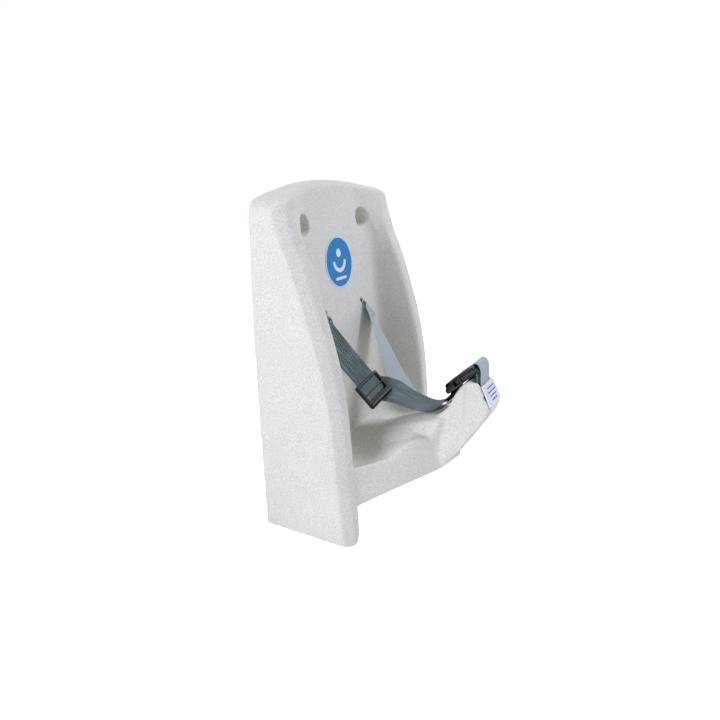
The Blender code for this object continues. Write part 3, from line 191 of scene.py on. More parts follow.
# Body shell
# The back, wings, saddle, post and head are one hollow moulding of off-white plastic with a fine matt
# grain. The mould's edges are rounded, apart from the crisp rims of the wall holes and strap slots. The
# post's foot and both shoulders are eased by a few millimetres towards the outline in the photograph.
HOLE_HEIGHT = 0.433
HOLE_OFFSET = 0.0808
HOLE_RADIUS = 0.0153
HOLE_FLOOR = 0.0138
SLOT_OFFSET = 0.068
SLOT_HEIGHT = 0.295
SLOT_LENGTH = 0.0474
SLOT_WIDTH = 0.0064
SLOT_SLOPE_DEGREES = 43.0
PANEL_LEAN_DEGREES = 7.75
PANEL_DEPTH = 0.041
PANEL_DEPTH_HEIGHT = 0.374
SHELL_VOXEL = 0.0015
SHELL_ROUNDING_STEPS = 18
CRISP_REACH = 0.006
CUT_REACH = 0.03
CRISP_LEAST_SHARE = 0.05
HOLE_SEGMENTS = 72
SHELL_COLOUR = (0.80, 0.797, 0.71)
SHELL_DARK_SHARE = 0.80
SHELL_ROUGHNESS = 0.5
SHELL_GRAIN = 0.0022
SHELL_GRAIN_DEPTH = 0.0005
SHELL_CLOUD = 0.06
NOISE_DETAIL = 3.0
NOISE_RANGE = (0.3, 0.7)
CLOUD_DETAIL = 2.0
CLOUD_SHARE = 0.15
TONE_RANGE = (0.42, 0.73)
GLOSS_SWING = 0.08
GRAIN_STRENGTH = 0.6
PLAIN_SPECULAR = 0.5
EASED_STEPS = 30
EASED_PLACES = (
    ((0, -0.247, 0.102), 0.020, (0, 0.0045, 0.0045), (1,)),
    ((0.143, -0.050, 0.434), 0.024, (0.001, -0.0055, 0), (1, -1)),
)
EASED_WIDTH_SHARE = 0.6
EASED_GAIN = 1.3
EASED_FADE = 0.1

# The frame's origin lies between the wall holes, and the origin of SEAT lies below it at the seat's foot.
SEAT = Matrix.Translation((0, 0, -HOLE_HEIGHT))
PANEL_LEAN = math.tan(math.radians(PANEL_LEAN_DEGREES))
PANEL_UP = Vector((0, PANEL_LEAN, 1)).normalized()
PANEL_OUT = Vector((0, -1, PANEL_LEAN)).normalized()


def shaded(colour, share):
    return (*(channel * share for channel in colour), 1)


def speckle(tree, size, detail=NOISE_DETAIL):
    """Noise of about this size in metres, in the object's own space."""
    place = add_node(tree, "ShaderNodeTexCoord").outputs["Object"]
    noise = add_node(tree, "ShaderNodeTexNoise", {"Vector": place, "Scale": 1 / size, "Detail": detail})
    return noise.outputs["Fac"]


def spread(tree, value, span, result):
    """The value moved from one span to another, and held inside it."""
    inputs = {
        "Value": value,
        "From Min": span[0],
        "From Max": span[1],
        "To Min": result[0],
        "To Max": result[1],
    }
    return add_node(tree, "ShaderNodeMapRange", inputs).outputs["Result"]


def toned(tree, shader, tone, colour, dark_share):
    """Base colour between a darker share of the colour and the colour itself, by the tone."""
    colours = {"Fac": tone, "Color1": shaded(colour, dark_share), "Color2": (*colour, 1)}
    mixed = add_node(tree, "ShaderNodeMixRGB", colours).outputs["Color"]
    tree.links.new(mixed, shader.inputs["Base Color"])
    return mixed


def bumped(tree, shader, height, distance, strength):
    bump = add_node(tree, "ShaderNodeBump", {"Height": height, "Distance": distance, "Strength": strength})
    tree.links.new(bump.outputs["Normal"], shader.inputs["Normal"])


def moulded_finish(name, colour, roughness, grain, cloud, dark_share, depth, specular=PLAIN_SPECULAR):
    """Moulded plastic: a fine grain in bump, tone and gloss, and broad faint clouds of tone."""
    material, tree, shader = new_finish(name, colour, roughness)
    shader.inputs["Specular IOR Level"].default_value = specular
    fine = speckle(tree, grain)
    broad = maths(tree, "MULTIPLY", speckle(tree, cloud, CLOUD_DETAIL), CLOUD_SHARE)
    tone = spread(tree, maths(tree, "ADD", fine, broad), TONE_RANGE, (0, 1))
    toned(tree, shader, tone, colour, dark_share)
    gloss = spread(tree, fine, NOISE_RANGE, (roughness - GLOSS_SWING, roughness + GLOSS_SWING))
    tree.links.new(gloss, shader.inputs["Roughness"])
    bumped(tree, shader, fine, depth, GRAIN_STRENGTH)
    return material


def linked(name, mesh, *materials):
    mesh.materials.clear()
    for material in materials:
        mesh.materials.append(material)
    piece = bpy.data.objects.new(name, mesh)
    bpy.context.scene.collection.objects.link(piece)
    return piece


def fitted(piece, body, slot, *nodes):
    """Joins the finished piece to its body, in place of the CAD nodes. The material slot is not used."""
    if nodes:
        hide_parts(*nodes)
    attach(piece, body)


def settled(piece):
    """Applies the piece's modifiers."""
    graph = bpy.context.evaluated_depsgraph_get()
    mesh = bpy.data.meshes.new_from_object(piece.evaluated_get(graph))
    piece.modifiers.clear()
    piece.data = mesh
    return piece


def even_copy(node, name, voxel, material):
    """A copy of a CAD solid, rebuilt in small even faces that can be rounded."""
    piece = linked(name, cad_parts[node].data.copy(), material)
    step = piece.modifiers.new("even", "REMESH")
    step.mode = "VOXEL"
    step.voxel_size = voxel
    step.use_smooth_shade = True
    return settled(piece)


def points_of(piece):
    points = np.empty(len(piece.data.vertices) * 3)
    piece.data.vertices.foreach_get("co", points)
    return points.reshape(-1, 3)


def rounded(piece, steps, weights=None):
    """Rounds edges by smoothing, each point by its weight."""
    step = piece.modifiers.new("round", "SMOOTH")
    step.iterations = steps
    if weights is not None:
        group = piece.vertex_groups.new(name="round")
        for index, weight in enumerate(weights):
            group.add((index,), float(weight), "REPLACE")
        step.vertex_group = group.name
    settled(piece)
    piece.vertex_groups.clear()


def smooth_faces(mesh):
    mesh.polygons.foreach_set("use_smooth", np.ones(len(mesh.polygons), bool))
    mesh.update()


def panel_place(x, z):
    """A place on the back's front face."""
    return Vector((x, -(PANEL_DEPTH + PANEL_LEAN * (PANEL_DEPTH_HEIGHT - z)), z))


def frame_of(origin, x, y):
    """A frame in the seat's space with its axes x and y, and z square to them."""
    x = Vector(x).normalized()
    z = x.cross(Vector(y)).normalized()
    placed = Matrix((x, z.cross(x), z)).transposed().to_4x4()
    placed.translation = origin
    return SEAT @ placed


def slot_frame(side):
    """At the middle of a slot: x along the slot, away from the seat's middle, and z out of the panel."""
    slope = math.radians(SLOT_SLOPE_DEGREES)
    along = Vector((side, 0, 0)) * math.cos(slope) - PANEL_UP * math.sin(slope)
    return frame_of(panel_place(side * SLOT_OFFSET, SLOT_HEIGHT), along, PANEL_OUT.cross(along))


def mesh_from(bm, name, matrix):
    """The finished mesh, moved from the space that the matrix stands for."""
    bmesh.ops.recalc_face_normals(bm, faces=bm.faces)
    mesh = bpy.data.meshes.new(name)
    bm.to_mesh(mesh)
    bm.free()
    mesh.transform(matrix)
    return mesh


def cut(piece, name, bm, matrix):
    """Cuts a closed form out of the piece."""
    tool = linked(name, mesh_from(bm, name, matrix))
    step = piece.modifiers.new(name, "BOOLEAN")
    step.operation = "DIFFERENCE"
    step.object = tool
    settled(piece)
    bpy.data.objects.remove(tool, do_unlink=True)


shell_finish = moulded_finish(
    "moulded_plastic",
    SHELL_COLOUR,
    SHELL_ROUGHNESS,
    SHELL_GRAIN,
    SHELL_CLOUD,
    SHELL_DARK_SHARE,
    SHELL_GRAIN_DEPTH,
)
shell = even_copy("body_shell", "moulded_shell", SHELL_VOXEL, shell_finish)
shell_points = points_of(shell) - np.array(SEAT.translation)
crisp = np.abs(shell_points[:, 1])
for side in (-1, 1):
    from_hole = np.hypot(shell_points[:, 0] - side * HOLE_OFFSET, shell_points[:, 2] - HOLE_HEIGHT)
    crisp = np.minimum(crisp, np.abs(from_hole - HOLE_RADIUS))
    to_slot = np.array((SEAT.inverted() @ slot_frame(side)).inverted())
    in_slot = shell_points @ to_slot[:3, :3].T + to_slot[:3, 3]
    beyond = np.maximum(np.abs(in_slot) - np.array([SLOT_LENGTH / 2, SLOT_WIDTH / 2, CRISP_REACH]), 0)
    crisp = np.minimum(crisp, np.linalg.norm(beyond, axis=1))
rounded(shell, SHELL_ROUNDING_STEPS, np.clip(crisp / CRISP_REACH, CRISP_LEAST_SHARE, 1))
eased = np.zeros(len(shell_points))
shell_places = points_of(shell)
for place, reach, shift, mirrors in EASED_PLACES:
    for side in mirrors:
        mirror = np.array([side, 1, 1])
        away = (shell_points - mirror * place) * np.array([EASED_WIDTH_SHARE, 1, 1]) / reach
        near = np.exp(-(away**2).sum(axis=1))
        shell_places += near[:, None] * (mirror * shift)
        eased = np.maximum(eased, near)
shell.data.vertices.foreach_set("co", shell_places.ravel())
rounded(shell, EASED_STEPS, np.clip(EASED_GAIN * eased - EASED_FADE, 0, 1))
for side in (-1, 1):
    turn = Matrix.Rotation(math.pi / 2, 4, "X")
    hole_bm = bmesh.new()
    bmesh.ops.create_cone(
        hole_bm,
        cap_ends=True,
        segments=HOLE_SEGMENTS,
        radius1=HOLE_RADIUS,
        radius2=HOLE_RADIUS,
        depth=2 * CUT_REACH,
    )
    cut(shell, "hole", hole_bm, Matrix.Translation((side * HOLE_OFFSET, -HOLE_FLOOR - CUT_REACH, 0)) @ turn)
    slot_bm = bmesh.new()
    bmesh.ops.create_cube(slot_bm, size=1, matrix=Matrix.Diagonal((SLOT_LENGTH, SLOT_WIDTH, CUT_REACH, 1)))
    cut(shell, "slot", slot_bm, slot_frame(side))
smooth_faces(shell.data)
fitted(shell, "seat", "moulded_plastic", "body_shell")

# Steel fittings
# The plate behind the wall holes, its screws, the pin in the head and the cover's screws are zinc plated
# steel, faintly mottled. The holes' sleeves and the bars behind the slots are near black: painted shade.
ZINC_COLOUR = (0.55, 0.56, 0.57)
# Painted shade: the sleeves and bars are darkened so the holes and slots look dark inside.
PAINTED_SHADE_STEEL_COLOUR = (0.10, 0.10, 0.095)
STEEL_DARK_SHARE = 0.8
STEEL_ROUGHNESS = 0.35
STEEL_GLOSS_RANGE = (0.28, 0.45)
STEEL_MOTTLE = 0.004
STEEL_MOTTLE_DETAIL = 4.0
STEEL_MOTTLE_DEPTH = 0.0002
STEEL_MOTTLE_STRENGTH = 0.3
STEEL_PIECES = (
    ("zinc_steel", ZINC_COLOUR, ("back_plate", "front_strap_pin", "front_cover_screw")),
    ("painted_shade_steel", PAINTED_SHADE_STEEL_COLOUR, ("hole_sleeve", "strap_bar")),
)

for finish_name, colour, starts in STEEL_PIECES:
    steel, tree, shader = new_finish(finish_name, colour, STEEL_ROUGHNESS, 1.0)
    mottle = speckle(tree, STEEL_MOTTLE, STEEL_MOTTLE_DETAIL)
    toned(tree, shader, mottle, colour, STEEL_DARK_SHARE)
    tree.links.new(spread(tree, mottle, NOISE_RANGE, STEEL_GLOSS_RANGE), shader.inputs["Roughness"])
    bumped(tree, shader, mottle, STEEL_MOTTLE_DEPTH, STEEL_MOTTLE_STRENGTH)
    for name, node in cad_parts.items():
        if name.startswith(starts):
            node.data.materials.clear()
            node.data.materials.append(steel)

# Webbing straps
# Flat woven polyester webbing, 38 mm wide, with cross ribs. Each strap is sewn round its bar behind the
# back and comes out of its slot. The dark left one runs through the slider, under which its front
# stretch starts, and near the buckle both are sewn into the buckle's loop. The right one is a lit copy of
# the grey webbing, its lighter colour painted light. Each strap's last stretch and the loop are painted
# black: painted shade round the buckle.
WEBBING_WIDTH = 0.038
WEBBING_THICKNESS = 0.0015
STRAP_ROW = 0.0005
STRAP_COLUMNS = 30
COURSE_STEPS = 60
RIB_PERIOD = 0.0027
RIB_HEIGHT = 0.0002
RIB_WAVE_SHARE = 1.3
RIB_WAVES = 5
# Painted glints: lighter streaks painted along the webbing, painted highlights where light catches its
# lengthwise folds.
GLINT_LENGTH = 0.03
GLINT_WIDTH = 0.004
GLINT_COLOUR = (0.66, 0.76, 0.75)
GLINT_DETAIL = 1.0
GLINT_RANGE = (0.5, 0.72)
EDGE_POWER = 14
YARNS_PER_RIB = 2
YARN_SHARE = 0.4
FRAY_SIZE = 0.0012
FRAY_SHARE = 0.7
WOVEN_RANGE = (-1.5, 1.5)
WEAVE_DEPTH = 0.0002
WEAVE_STRENGTH = 0.5
WEBBING_ROUGHNESS = 0.7
WEBBING_SPECULAR = 0.1
SHEEN_ROUGHNESS = 0.4
GATHER_WAVES = 4.5
GATHER_REACH = 0.014
GATHER_HEIGHT = 0.0006
BAR_DIAMETER = 0.006
BAR_SETBACK = 0.022
CLEARANCE = 0.0003
SHELL_WALL = 0.004
SLOT_PLAY = 0.004
EYE_TAIL_SHARES = ((-0.62, 1.7), (-0.9, 0.8))
EYE_LEAD_SHARES = ((0.95, 0.8), (0.45, 2.2))
SLIDER_PLACE = (-0.0485, -0.123, 0.206)
SLIDER_UP = (-0.19, 0.65, 0.735)
SLIDER_ACROSS = (0.93, -0.15, 0.33)
SLIDER_RUN = (
    (0.043, 0), (0.040, 0), (0.020, 0), (0.002, 0),
    (-0.0075, -0.0007), (-0.0112, -0.0030), (-0.0118, -0.0062),
)
BUCKLE_PLACE = (0, -0.242054, 0.2295)
BUCKLE_TILT_DEGREES = 44.0
LEFT_REAR_ROUTE = (((-0.0662, -0.0635, 0.2775), (0.81, -0.08, 0.57)),)
LEFT_FRONT_ROUTE = (
    ((-0.0378, -0.1198, 0.2040), (0.54, 0.35, 0.76)),
    ((-0.0284, -0.1265, 0.2006), (0.56, 0.33, 0.76)),
    ((-0.0255, -0.1385, 0.1990), (0.61, 0.27, 0.74)),
    ((-0.0223, -0.1497, 0.1963), (0.71, 0.21, 0.68)),
    ((-0.0188, -0.1596, 0.1911), (0.83, 0.16, 0.53)),
    ((-0.0148, -0.1705, 0.1862), (0.92, 0.12, 0.38)),
    ((-0.0105, -0.1830, 0.1822), (0.96, 0.06, 0.26)),
    ((-0.0055, -0.1965, 0.1805), (0.99, 0, 0.12)),
    ((-0.0010, -0.2085, 0.1830), (1, 0, 0.03)),
)
LEFT_END = ((0.0440, -0.0118), (0.0360, -0.0096))
RIGHT_ROUTE = (
    ((0.0654, -0.0597, 0.2839), (0.74, 0.03, -0.67)),
    ((0.0590, -0.0690, 0.2745), (0.79, 0.02, -0.61)),
    ((0.0460, -0.089, 0.254), (0.93, -0.04, -0.36)),
    ((0.0310, -0.108, 0.234), (0.97, -0.1, -0.20)),
    ((0.0175, -0.127, 0.212), (1, -0.1, 0.03)),
    ((0.0080, -0.147, 0.1965), (1, 0, 0)),
    ((0.0030, -0.166, 0.1825), (1, 0, 0)),
    ((0, -0.186, 0.1728), (1, 0, 0)),
)
RIGHT_END = ((0.0620, -0.0165), (0.0480, -0.0184), (0.0370, -0.0163))
# The last stretch of each strap before the buckle takes the black webbing: painted shade round the buckle.
LEFT_PAINTED_SHADE_LENGTH = 0.020
RIGHT_PAINTED_SHADE_LENGTH = 0.045
DARK_WEBBING = (0.23, 0.29, 0.28)
# Dark share of each webbing colour: painted shade in the rib valleys, and the yarns' random tone.
DARK_RIB_SHADE_SHARE = 0.07
DARK_SHEEN = 0.2
DARK_GLINT_SHARE = 0.45
# The light webbing is a lit copy of the grey webbing: its lighter colour is painted light.
LIT_WEBBING_COLOUR = (0.53, 0.60, 0.61)
LIT_RIB_SHADE_SHARE = 0.72
LIT_WEBBING_SHEEN = 0.15
# Black webbing: painted shade round the buckle.
PAINTED_SHADE_WEBBING_COLOUR = (0.012, 0.014, 0.013)
PAINTED_SHADE_RIB_SHARE = 0.5
PAINTED_SHADE_SHEEN = 0.05

BUCKLE_TILT = math.radians(BUCKLE_TILT_DEGREES)
BUCKLE = frame_of(BUCKLE_PLACE, (1, 0, 0), (0, math.cos(BUCKLE_TILT), -math.sin(BUCKLE_TILT)))
SLIDER = frame_of(SLIDER_PLACE, SLIDER_ACROSS, SLIDER_UP)


def in_seat(matrix, places, across=(1, 0, 0)):
    """Stations of a strap from places y, z in a frame, with the strap lying across its x axis."""
    local = SEAT.inverted() @ matrix
    return [(local @ Vector((0, y, z)), local.to_3x3() @ Vector(across)) for y, z in places]


def hermite(knots, values, at):
    """A smooth curve through the values at the knots."""
    slopes = np.gradient(values, knots, axis=0)
    i = np.clip(np.searchsorted(knots, at) - 1, 0, len(knots) - 2)
    width = (knots[i + 1] - knots[i])[:, None]
    t = (at - knots[i])[:, None] / width
    return (
        (2 * t**3 - 3 * t**2 + 1) * values[i]
        + (t**3 - 2 * t**2 + t) * width * slopes[i]
        + (3 * t**2 - 2 * t**3) * values[i + 1]
        + (t**3 - t**2) * width * slopes[i + 1]
    )


def strap_course(stations):
    """Row lengths and each row's middle, direction across and outward normal, and the stations' lengths."""
    places = np.array([tuple(place) for place, _ in stations])
    acrosses = np.array([tuple(across) for _, across in stations], float)
    chords = np.linalg.norm(np.diff(places, axis=0), axis=1)
    knots = np.concatenate([[0], np.cumsum(np.sqrt(chords))])
    fine = np.linspace(0, knots[-1], COURSE_STEPS * len(stations))
    steps = np.linalg.norm(np.diff(hermite(knots, places, fine), axis=0), axis=1)
    length = np.concatenate([[0], np.cumsum(steps)])
    rows = np.linspace(0, length[-1], int(length[-1] / STRAP_ROW) + 1)
    at = np.interp(rows, length, fine)
    middle = hermite(knots, places, at)
    tangent = np.gradient(middle, rows, axis=0)
    tangent /= np.linalg.norm(tangent, axis=1)[:, None]
    across = hermite(knots, acrosses, at)
    across -= tangent * (across * tangent).sum(axis=1)[:, None]
    across /= np.linalg.norm(across, axis=1)[:, None]
    return rows, middle, across, np.cross(tangent, across), np.interp(knots, fine, length)


def strap_piece(name, runs, materials):
    """Webbing with woven ribs as real relief, and a UV map of lengths along and across.

    Each run has its stations, the stations where the webbing is gathered into folds lengthwise, and the
    length at its end that takes the second material.
    """
    bm = bmesh.new()
    layer = bm.loops.layers.uv.new("weave")
    share = np.linspace(-1, 1, STRAP_COLUMNS)
    placed = np.concatenate([share, share[::-1]]) * WEBBING_WIDTH / 2
    for stations, gathers, second_length in runs:
        rows, middle, across, normal, marks = strap_course(stations)
        wave = 2 * math.pi * rows[:, None] / RIB_PERIOD
        wave = wave + RIB_WAVE_SHARE * np.cos(math.pi * RIB_WAVES * share)[None, :]
        edge = np.sqrt(np.clip(1 - np.abs(share) ** EDGE_POWER, 0, 1))[None, :]
        half = (WEBBING_THICKNESS / 2 - RIB_HEIGHT + RIB_HEIGHT * np.cos(wave)) * edge
        fold = np.zeros((len(rows), 1))
        for station in gathers:
            near = np.exp(-(((rows - marks[station]) / GATHER_REACH) ** 2))
            fold = fold + GATHER_HEIGHT * near[:, None]
        fold = fold * np.cos(math.pi * GATHER_WAVES * share)[None, :]
        flat = middle[:, None, :] + across[:, None, :] * (share * WEBBING_WIDTH / 2)[None, :, None]
        upper = flat + normal[:, None, :] * (fold + half)[:, :, None]
        lower = flat + normal[:, None, :] * (fold - half)[:, :, None]
        rings = np.concatenate([upper, lower[:, ::-1]], axis=1)
        verts = [[bm.verts.new(point) for point in ring] for ring in rings]
        count = len(placed)
        for i in range(len(rows) - 1):
            for j in range(count):
                k = (j + 1) % count
                face = bm.faces.new((verts[i][j], verts[i][k], verts[i + 1][k], verts[i + 1][j]))
                face.smooth = True
                face.material_index = int(rows[i] > rows[-1] - second_length)
                corners = ((i, j), (i, k), (i + 1, k), (i + 1, j))
                for loop, (row, column) in zip(face.loops, corners):
                    loop[layer].uv = (rows[row], placed[column])
        bm.faces.new(verts[0])
        bm.faces.new(verts[-1])
    return linked(name, mesh_from(bm, name, SEAT), *materials)


def webbing_finish(name, colour, rib_shade_share, sheen, glint_share=0.0):
    """Woven yarn: painted shade in the valleys between the cross ribs, fine yarns, lengthwise painted
    glints and a soft sheen.
    """
    material, tree, shader = new_finish(name, colour, WEBBING_ROUGHNESS)
    weave = add_node(tree, "ShaderNodeUVMap", uv_map="weave").outputs["UV"]
    split = add_node(tree, "ShaderNodeSeparateXYZ", {"Vector": weave}).outputs
    turn = 2 * math.pi / RIB_PERIOD
    along = maths(tree, "MULTIPLY", split["X"], turn)
    across = maths(tree, "MULTIPLY", split["Y"], 2 * math.pi * RIB_WAVES / WEBBING_WIDTH)
    bend = maths(tree, "MULTIPLY", maths(tree, "COSINE", across), RIB_WAVE_SHARE)
    rib = maths(tree, "COSINE", maths(tree, "ADD", along, bend))
    yarn = maths(tree, "COSINE", maths(tree, "MULTIPLY", split["Y"], YARNS_PER_RIB * turn))
    fray = spread(tree, speckle(tree, FRAY_SIZE), NOISE_RANGE, (-FRAY_SHARE, FRAY_SHARE))
    woven = maths(tree, "ADD", maths(tree, "ADD", rib, maths(tree, "MULTIPLY", yarn, YARN_SHARE)), fray)
    tone = spread(tree, woven, WOVEN_RANGE, (0, 1))
    # The tone's dark end paints shade into the rib valleys; the fine yarns and fray also darken it at
    # random.
    base = toned(tree, shader, tone, colour, rib_shade_share)
    # Painted highlights: lengthwise glint streaks mixed into the colour on the rib crests.
    glint_x = maths(tree, "DIVIDE", split["X"], GLINT_LENGTH)
    glint_y = maths(tree, "DIVIDE", split["Y"], GLINT_WIDTH)
    stretched = add_node(tree, "ShaderNodeCombineXYZ", {"X": glint_x, "Y": glint_y}).outputs[0]
    streaks = {"Vector": stretched, "Scale": 1, "Detail": GLINT_DETAIL}
    noise = add_node(tree, "ShaderNodeTexNoise", streaks).outputs["Fac"]
    glint = maths(tree, "MULTIPLY", spread(tree, noise, GLINT_RANGE, (0, glint_share)), tone)
    lit = add_node(tree, "ShaderNodeMixRGB", {"Fac": glint, "Color1": base, "Color2": (*GLINT_COLOUR, 1)})
    tree.links.new(lit.outputs["Color"], shader.inputs["Base Color"])
    bumped(tree, shader, tone, WEAVE_DEPTH, WEAVE_STRENGTH)
    shader.inputs["Specular IOR Level"].default_value = WEBBING_SPECULAR
    shader.inputs["Sheen Weight"].default_value = sheen
    shader.inputs["Sheen Roughness"].default_value = SHEEN_ROUGHNESS
    return material


def eye_route(side):
    """The strap's end in its slot: in through the back, round the bar and back onto itself."""
    radius = (BAR_DIAMETER + WEBBING_THICKNESS) / 2 + CLEARANCE
    turn = [math.pi / 4 * step for step in range(-2, 3)]
    low = [(radius * math.sin(a), -BAR_SETBACK - radius * math.cos(a)) for a in turn]
    tail = [(radius * y, radius * z - BAR_SETBACK) for y, z in EYE_TAIL_SHARES]
    lead = [(radius * y, radius * z - BAR_SETBACK) for y, z in EYE_LEAD_SHARES]
    places = tail + low + lead + [(0, -2 * SHELL_WALL), (0, -SHELL_WALL / 2), (0, SHELL_WALL)]
    shifted = slot_frame(side) @ Matrix.Translation((SLOT_PLAY, 0, 0))
    return in_seat(shifted, places, (side, 0, 0))


dark_webbing = webbing_finish("grey_webbing", DARK_WEBBING, DARK_RIB_SHADE_SHARE, DARK_SHEEN, DARK_GLINT_SHARE)
# A lit copy of the grey webbing, painted light, for the right strap and the head's loop.
light_webbing = webbing_finish("light_webbing", LIT_WEBBING_COLOUR, LIT_RIB_SHADE_SHARE, LIT_WEBBING_SHEEN)
# A black copy of the webbing: painted shade round the buckle.
painted_shade_webbing = webbing_finish("painted_shade_webbing", PAINTED_SHADE_WEBBING_COLOUR, PAINTED_SHADE_RIB_SHARE, PAINTED_SHADE_SHEEN)
left_eye = eye_route(-1)
left_rear = left_eye + list(LEFT_REAR_ROUTE) + in_seat(SLIDER, SLIDER_RUN)
left_front = list(LEFT_FRONT_ROUTE) + in_seat(BUCKLE, LEFT_END)
right_run = eye_route(1) + list(RIGHT_ROUTE) + in_seat(BUCKLE, RIGHT_END)
slot_mouth = len(left_eye)
left_runs = [
    (left_rear, [slot_mouth, slot_mouth + 2], 0),
    (left_front, [0], LEFT_PAINTED_SHADE_LENGTH),
]
for name, runs, materials in (
    ("left_webbing", left_runs, (dark_webbing, painted_shade_webbing)),
    ("right_webbing", [(right_run, [slot_mouth], RIGHT_PAINTED_SHADE_LENGTH)], (light_webbing, painted_shade_webbing)),
):
    strap = strap_piece(name, runs, materials)
    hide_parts("strap_" + name.split("_")[0])
    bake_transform(strap)

# Loops at the buckle
# A doubled loop of webbing goes round the socket's rear bar, and its tail is sewn between the straps. It
# is painted black: painted shade round the buckle. A light grey loop, in the lit copy of the webbing with
# its painted light, goes round the tongue's front bar and down behind the head's cover.
SOCKET_BAR = 0.0206
SOCKET_BAR_LEG = 0.0030
LOOP_UNDER = -0.0065
LOOP_CROWN = 0.0062
LOOP_TAIL = 0.014
LOOP_TAIL_SLOPE_DEGREES = 15.0
LOOP_TAIL_DROP_SHARE = 1.3
LOOP_TAIL_SHARES = (0, 0.5, 1)
LOOP_LEG_END = 0.001
LOOP_PAIR = 0.0011
PIN_PLACE = (-0.2766, 0.2086)
PIN_RADIUS = 0.0036
FRONT_LOOP = (
    (-0.2733, 0.2215), (-0.2720, 0.2290), (-0.2714, 0.2370), (-0.2712, 0.2440), (-0.2696, 0.2500),
    (-0.2662, 0.2548), (-0.2618, 0.2562), (-0.2587, 0.2535), (-0.2600, 0.2490), (-0.2633, 0.2448),
    (-0.2655, 0.2390), (-0.2664, 0.2310), (-0.2672, 0.2235),
)
PIN_TURNS_DEGREES = (-30, -75, -120)

slope = math.radians(LOOP_TAIL_SLOPE_DEGREES)
tail_start_y = SOCKET_BAR + 2 * SOCKET_BAR_LEG
tail_start_z = LOOP_UNDER - LOOP_TAIL_DROP_SHARE * SOCKET_BAR_LEG
tail_y = [tail_start_y + LOOP_TAIL * math.cos(slope) * share for share in LOOP_TAIL_SHARES]
tail_z = [tail_start_z - LOOP_TAIL * math.sin(slope) * share for share in LOOP_TAIL_SHARES]
upper_tail = [(y, z + LOOP_PAIR) for y, z in zip(tail_y, tail_z)]
lower_tail = [(y, z - LOOP_PAIR) for y, z in zip(tail_y, tail_z)]
leg_top = LOOP_CROWN - LOOP_LEG_END
rear_leg = [(SOCKET_BAR + SOCKET_BAR_LEG, z) for z in (LOOP_UNDER - LOOP_LEG_END, 0, leg_top)]
front_leg = [(SOCKET_BAR - SOCKET_BAR_LEG, z) for z in (leg_top, 0, LOOP_UNDER)]
under_bar = [(SOCKET_BAR - SOCKET_BAR_LEG / 3, LOOP_UNDER - SOCKET_BAR_LEG)]
loop_places = upper_tail[::-1] + rear_leg + [(SOCKET_BAR, LOOP_CROWN)] + front_leg + under_bar + lower_tail
strap_loop = strap_piece("buckle_loop", [(in_seat(BUCKLE, loop_places), [], 0)], (painted_shade_webbing,))
fitted(strap_loop, "socket", "grey_webbing", "strap_loop")

pin_y, pin_z = PIN_PLACE
pin_turn = [math.radians(angle) for angle in PIN_TURNS_DEGREES]
round_pin = [(pin_y + PIN_RADIUS * math.cos(a), pin_z + PIN_RADIUS * math.sin(a)) for a in pin_turn]
front_places = list(FRONT_LOOP) + round_pin
front_stations = [(Vector((0, y, z)), (1, 0, 0)) for y, z in front_places]
front_strap = strap_piece("head_loop", [(front_stations, [], 0)], (light_webbing,))
fitted(front_strap, "seat", "light_webbing", "front_strap")

# Buckle, arms and slider
# Injection moulded black acetal, satin with rounded edges. Rows of grip ridges cross the buckle's top.
BLACK_VOXEL = 0.0005
BLACK_ROUNDING_STEPS = 3
BLACK_COLOUR = (0.012, 0.012, 0.013)
BLACK_ROUGHNESS = 0.32
BLACK_GRAIN = 0.0008
BLACK_GRAIN_DEPTH = 0.00005
BLACK_CLOUD = 0.01
BLACK_DARK_SHARE = 0.7
BLACK_SPECULAR = 0.3
RIDGE_PERIOD = 0.0026
RIDGE_HEIGHT = 0.0005
RIDGE_START = 0.0035
RIDGE_FADE = 0.001
GROOVE_SHARE = 0.3
BLACK_PIECES = (
    ("strap_slider", "slider"),
    ("buckle_socket", "socket"),
    ("buckle_tongue", "seat"),
    ("release_arm_left", "arm_left"),
    ("release_arm_right", "arm_right"),
)
black_finish = moulded_finish(
    "black_plastic",
    BLACK_COLOUR,
    BLACK_ROUGHNESS,
    BLACK_GRAIN,
    BLACK_CLOUD,
    BLACK_DARK_SHARE,
    BLACK_GRAIN_DEPTH,
    BLACK_SPECULAR,
)
for node, body in BLACK_PIECES:
    piece = even_copy(node, node + "_moulding", BLACK_VOXEL, black_finish)
    rounded(piece, BLACK_ROUNDING_STEPS)
    if node.startswith("buckle"):
        points = points_of(piece)
        to_buckle = np.array(BUCKLE.inverted())
        local = points @ to_buckle[:3, :3].T + to_buckle[:3, 3]
        on_top = np.clip((local[:, 2] - RIDGE_START) / RIDGE_FADE, 0, 1)
        wave = np.cos(2 * math.pi * local[:, 1] / RIDGE_PERIOD)
        ridge = RIDGE_HEIGHT * np.clip(wave, -GROOVE_SHARE, 1) * on_top
        normal = np.array(BUCKLE.to_3x3() @ Vector((0, 0, 1)))
        piece.data.vertices.foreach_set("co", (points + ridge[:, None] * normal).ravel())
    smooth_faces(piece.data)
    fitted(piece, body, "black_plastic", node)

